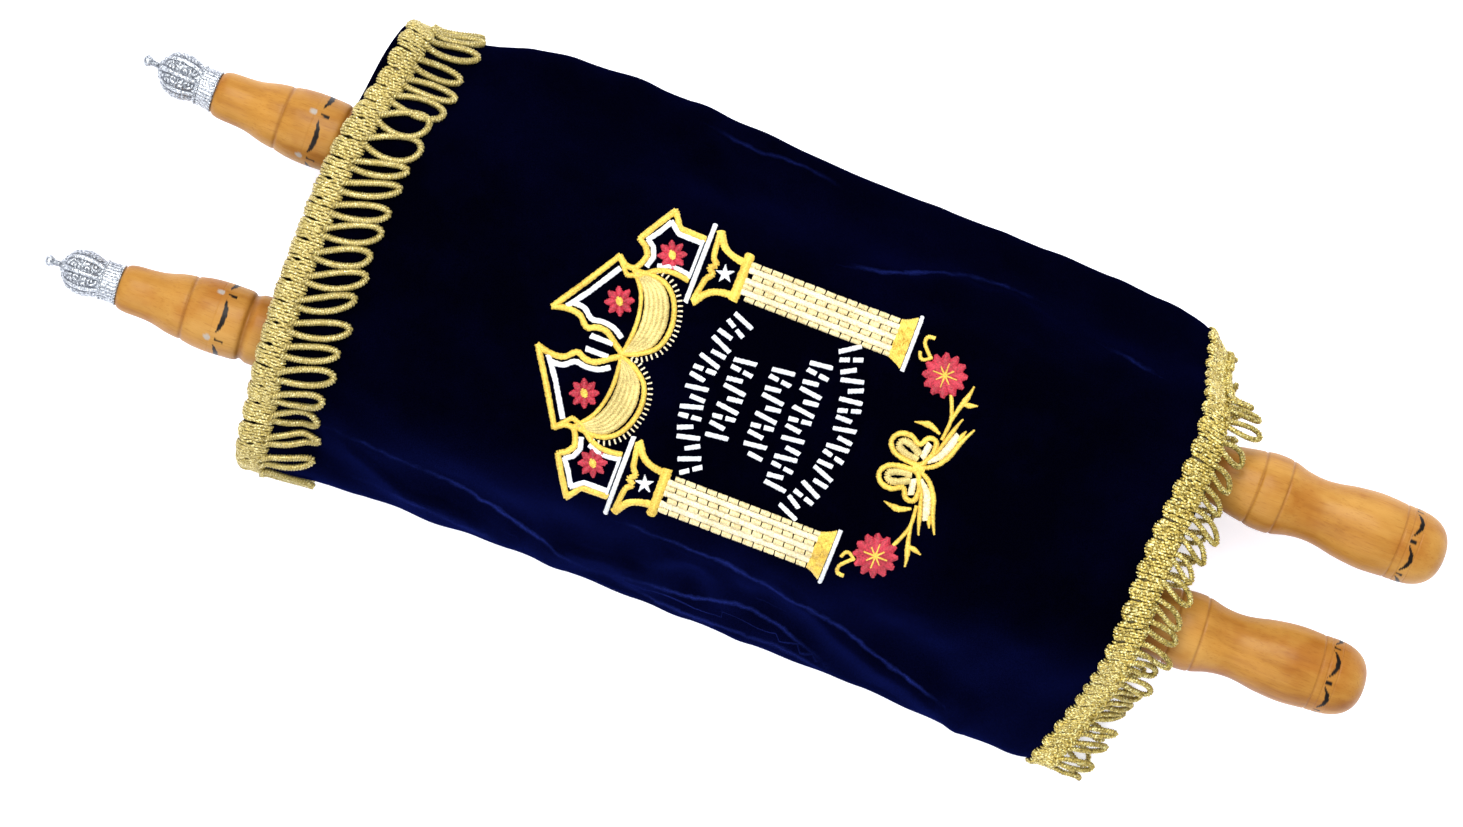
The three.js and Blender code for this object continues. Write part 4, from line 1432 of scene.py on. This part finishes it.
def topOfCloth(step=1.5):
    # heights and slopes of the mantle's front, sampled once for all the stitches
    corners = cloth.reshape(-1, 3).tolist()
    faces = gridFaces(cloth.shape[0], cloth.shape[1]).tolist()
    tree = BVHTree.FromPolygons(corners, faces)
    xs = np.arange(-90, 90 + step, step)
    ys = np.arange(-70, 70 + step, step)
    heights = np.zeros((len(xs), len(ys)))
    down = Vector((0, 0, -1))
    for i, x in enumerate(xs):
        for j, y in enumerate(ys):
            hit = tree.ray_cast(Vector((x, y, 200)), down)[0]
            heights[i, j] = hit.z if hit else 0
    return xs, ys, heights


def heightAt(field, x, y):
    xs, ys, heights = field
    u = np.clip((x - xs[0]) / (xs[1] - xs[0]), 0, len(xs) - 1.001)
    v = np.clip((y - ys[0]) / (ys[1] - ys[0]), 0, len(ys) - 1.001)
    i, j = u.astype(int), v.astype(int)
    fu, fv = u - i, v - j
    near = heights[i, j] * (1 - fv) + heights[i, j + 1] * fv
    far = heights[i + 1, j] * (1 - fv) + heights[i + 1, j + 1] * fv
    return near * (1 - fu) + far * fu


def makeStitches(name, field):
    rows = np.concatenate(sewn[name])
    scale, centre = embroidery["scale"], np.array(embroidery["centre"])
    starts, ends = rows[:, 0:2] * scale + centre, rows[:, 2:4] * scale + centre
    t = np.array([0, 0.16, 0.5, 0.84, 1.0])
    middle = starts[:, None] * (1 - t)[:, None] + ends[:, None] * t[:, None]
    run = unit(ends - starts)[:, None]
    sideways = np.stack([-run[..., 1], run[..., 0]], axis=-1)
    x, y = middle[..., 0], middle[..., 1]
    z = heightAt(field, x, y)
    tiny = 0.8
    slopeX = (heightAt(field, x + tiny, y) - heightAt(field, x - tiny, y)) / (2 * tiny)
    slopeY = (heightAt(field, x, y + tiny) - heightAt(field, x, y - tiny)) / (2 * tiny)
    normal = unit(np.stack([-slopeX, -slopeY, np.ones_like(z)], axis=-1))
    ground = np.concatenate([middle, z[..., None]], axis=-1)
    lift = rows[:, 4:5] * np.array([0.0, 0.72, 1.0, 0.72, 0.0]) - 0.12
    radius = embroidery["thread"]
    side = np.concatenate([sideways + 0 * middle, np.zeros(z.shape + (1,))], axis=-1)
    side = unit(side - (side * normal).sum(-1, keepdims=True) * normal)
    left = ground + normal * (lift[..., None] - 0.12) + side * radius
    right = ground + normal * (lift[..., None] - 0.12) - side * radius
    top = ground + normal * (lift[..., None] + radius * 0.85)
    points = np.stack([left, top, right], axis=2)
    count = len(rows)
    one = gridFaces(5, 3, closed=False)
    faces = (one[None] + np.arange(count)[:, None, None] * 15).reshape(-1, 4)
    return makePiece(name + "_stitches", points.reshape(-1, 3), [faces], threads[name])


columns()
roof()
garland()
strokes()
clothTop = topOfCloth()
stitchPieces = [makeStitches(name, clothTop) for name in threads]
print("embroidery made", {piece.name: len(piece.data.polygons) for piece in stitchPieces})


# floor, light and camera

setting = {
    "fieldOfView": 18.9, "distance": 1.459, "tilt": -1.5, "roll": 21.0, "aim": (-4.13, -7.72, 31.0),
    "floorGlow": 0.5,
}


def makeSetting():
    bpy.ops.mesh.primitive_plane_add(size=6, location=(0, 0, -0.0004))
    floor = bpy.context.object
    floor.name = "floor"
    floor.data.materials.append(Finish("pale floor").shade(
        BaseColor=(0.90, 0.91, 0.97), Roughness=0.9,
        EmissionColor=(0.94, 0.95, 1.0), EmissionStrength=setting["floorGlow"],
    ))
    for name, place, size, power, colour in (
        ("key", (-0.25, 0.85, 1.5), 1.0, 26, (1.0, 0.99, 0.96)),
        ("fill", (-0.2, -1.3, 1.3), 1.4, 13, (0.95, 0.96, 1.0)),
        ("overhead", (-0.3, 0.1, 2.2), 1.2, 12, (1.0, 1.0, 1.0)),
    ):
        light = bpy.data.lights.new(name, "AREA")
        light.energy = power
        light.size = size
        light.color = colour
        lamp = bpy.data.objects.new(name, light)
        lamp.location = place
        lamp.rotation_euler = (Vector((0, 0, 0.03)) - Vector(place)).to_track_quat("-Z", "Y").to_euler()
        bpy.context.collection.objects.link(lamp)
    world = bpy.data.worlds.new("studio")
    world.use_nodes = True
    world.node_tree.nodes["Background"].inputs["Color"].default_value = (0.92, 0.94, 1.0, 1)
    world.node_tree.nodes["Background"].inputs["Strength"].default_value = 0.75
    bpy.context.scene.world = world
    bpy.context.scene.view_settings.view_transform = "Standard"


def makeCamera():
    tilt, roll = math.radians(setting["tilt"]), math.radians(setting["roll"])
    aim = Vector(((np.array(setting["aim"]) + shift) * mm).tolist())
    back = Vector((0, -math.sin(tilt), math.cos(tilt)))     # from the scroll to the camera
    right = Vector((math.cos(roll), math.sin(roll), 0))
    right = (right - right.dot(back) * back).normalized()
    up = back.cross(right)
    camera = bpy.data.objects.new("camera", bpy.data.cameras.new("camera"))
    camera.data.angle = math.radians(setting["fieldOfView"])
    matrix = camera.matrix_world.copy()
    for row in range(3):
        matrix[row][0], matrix[row][1], matrix[row][2] = right[row], up[row], back[row]
        matrix[row][3] = aim[row] + back[row] * setting["distance"]
    camera.matrix_world = matrix
    bpy.context.collection.objects.link(camera)
    bpy.context.scene.camera = camera


makeSetting()
makeCamera()
print("setting made")
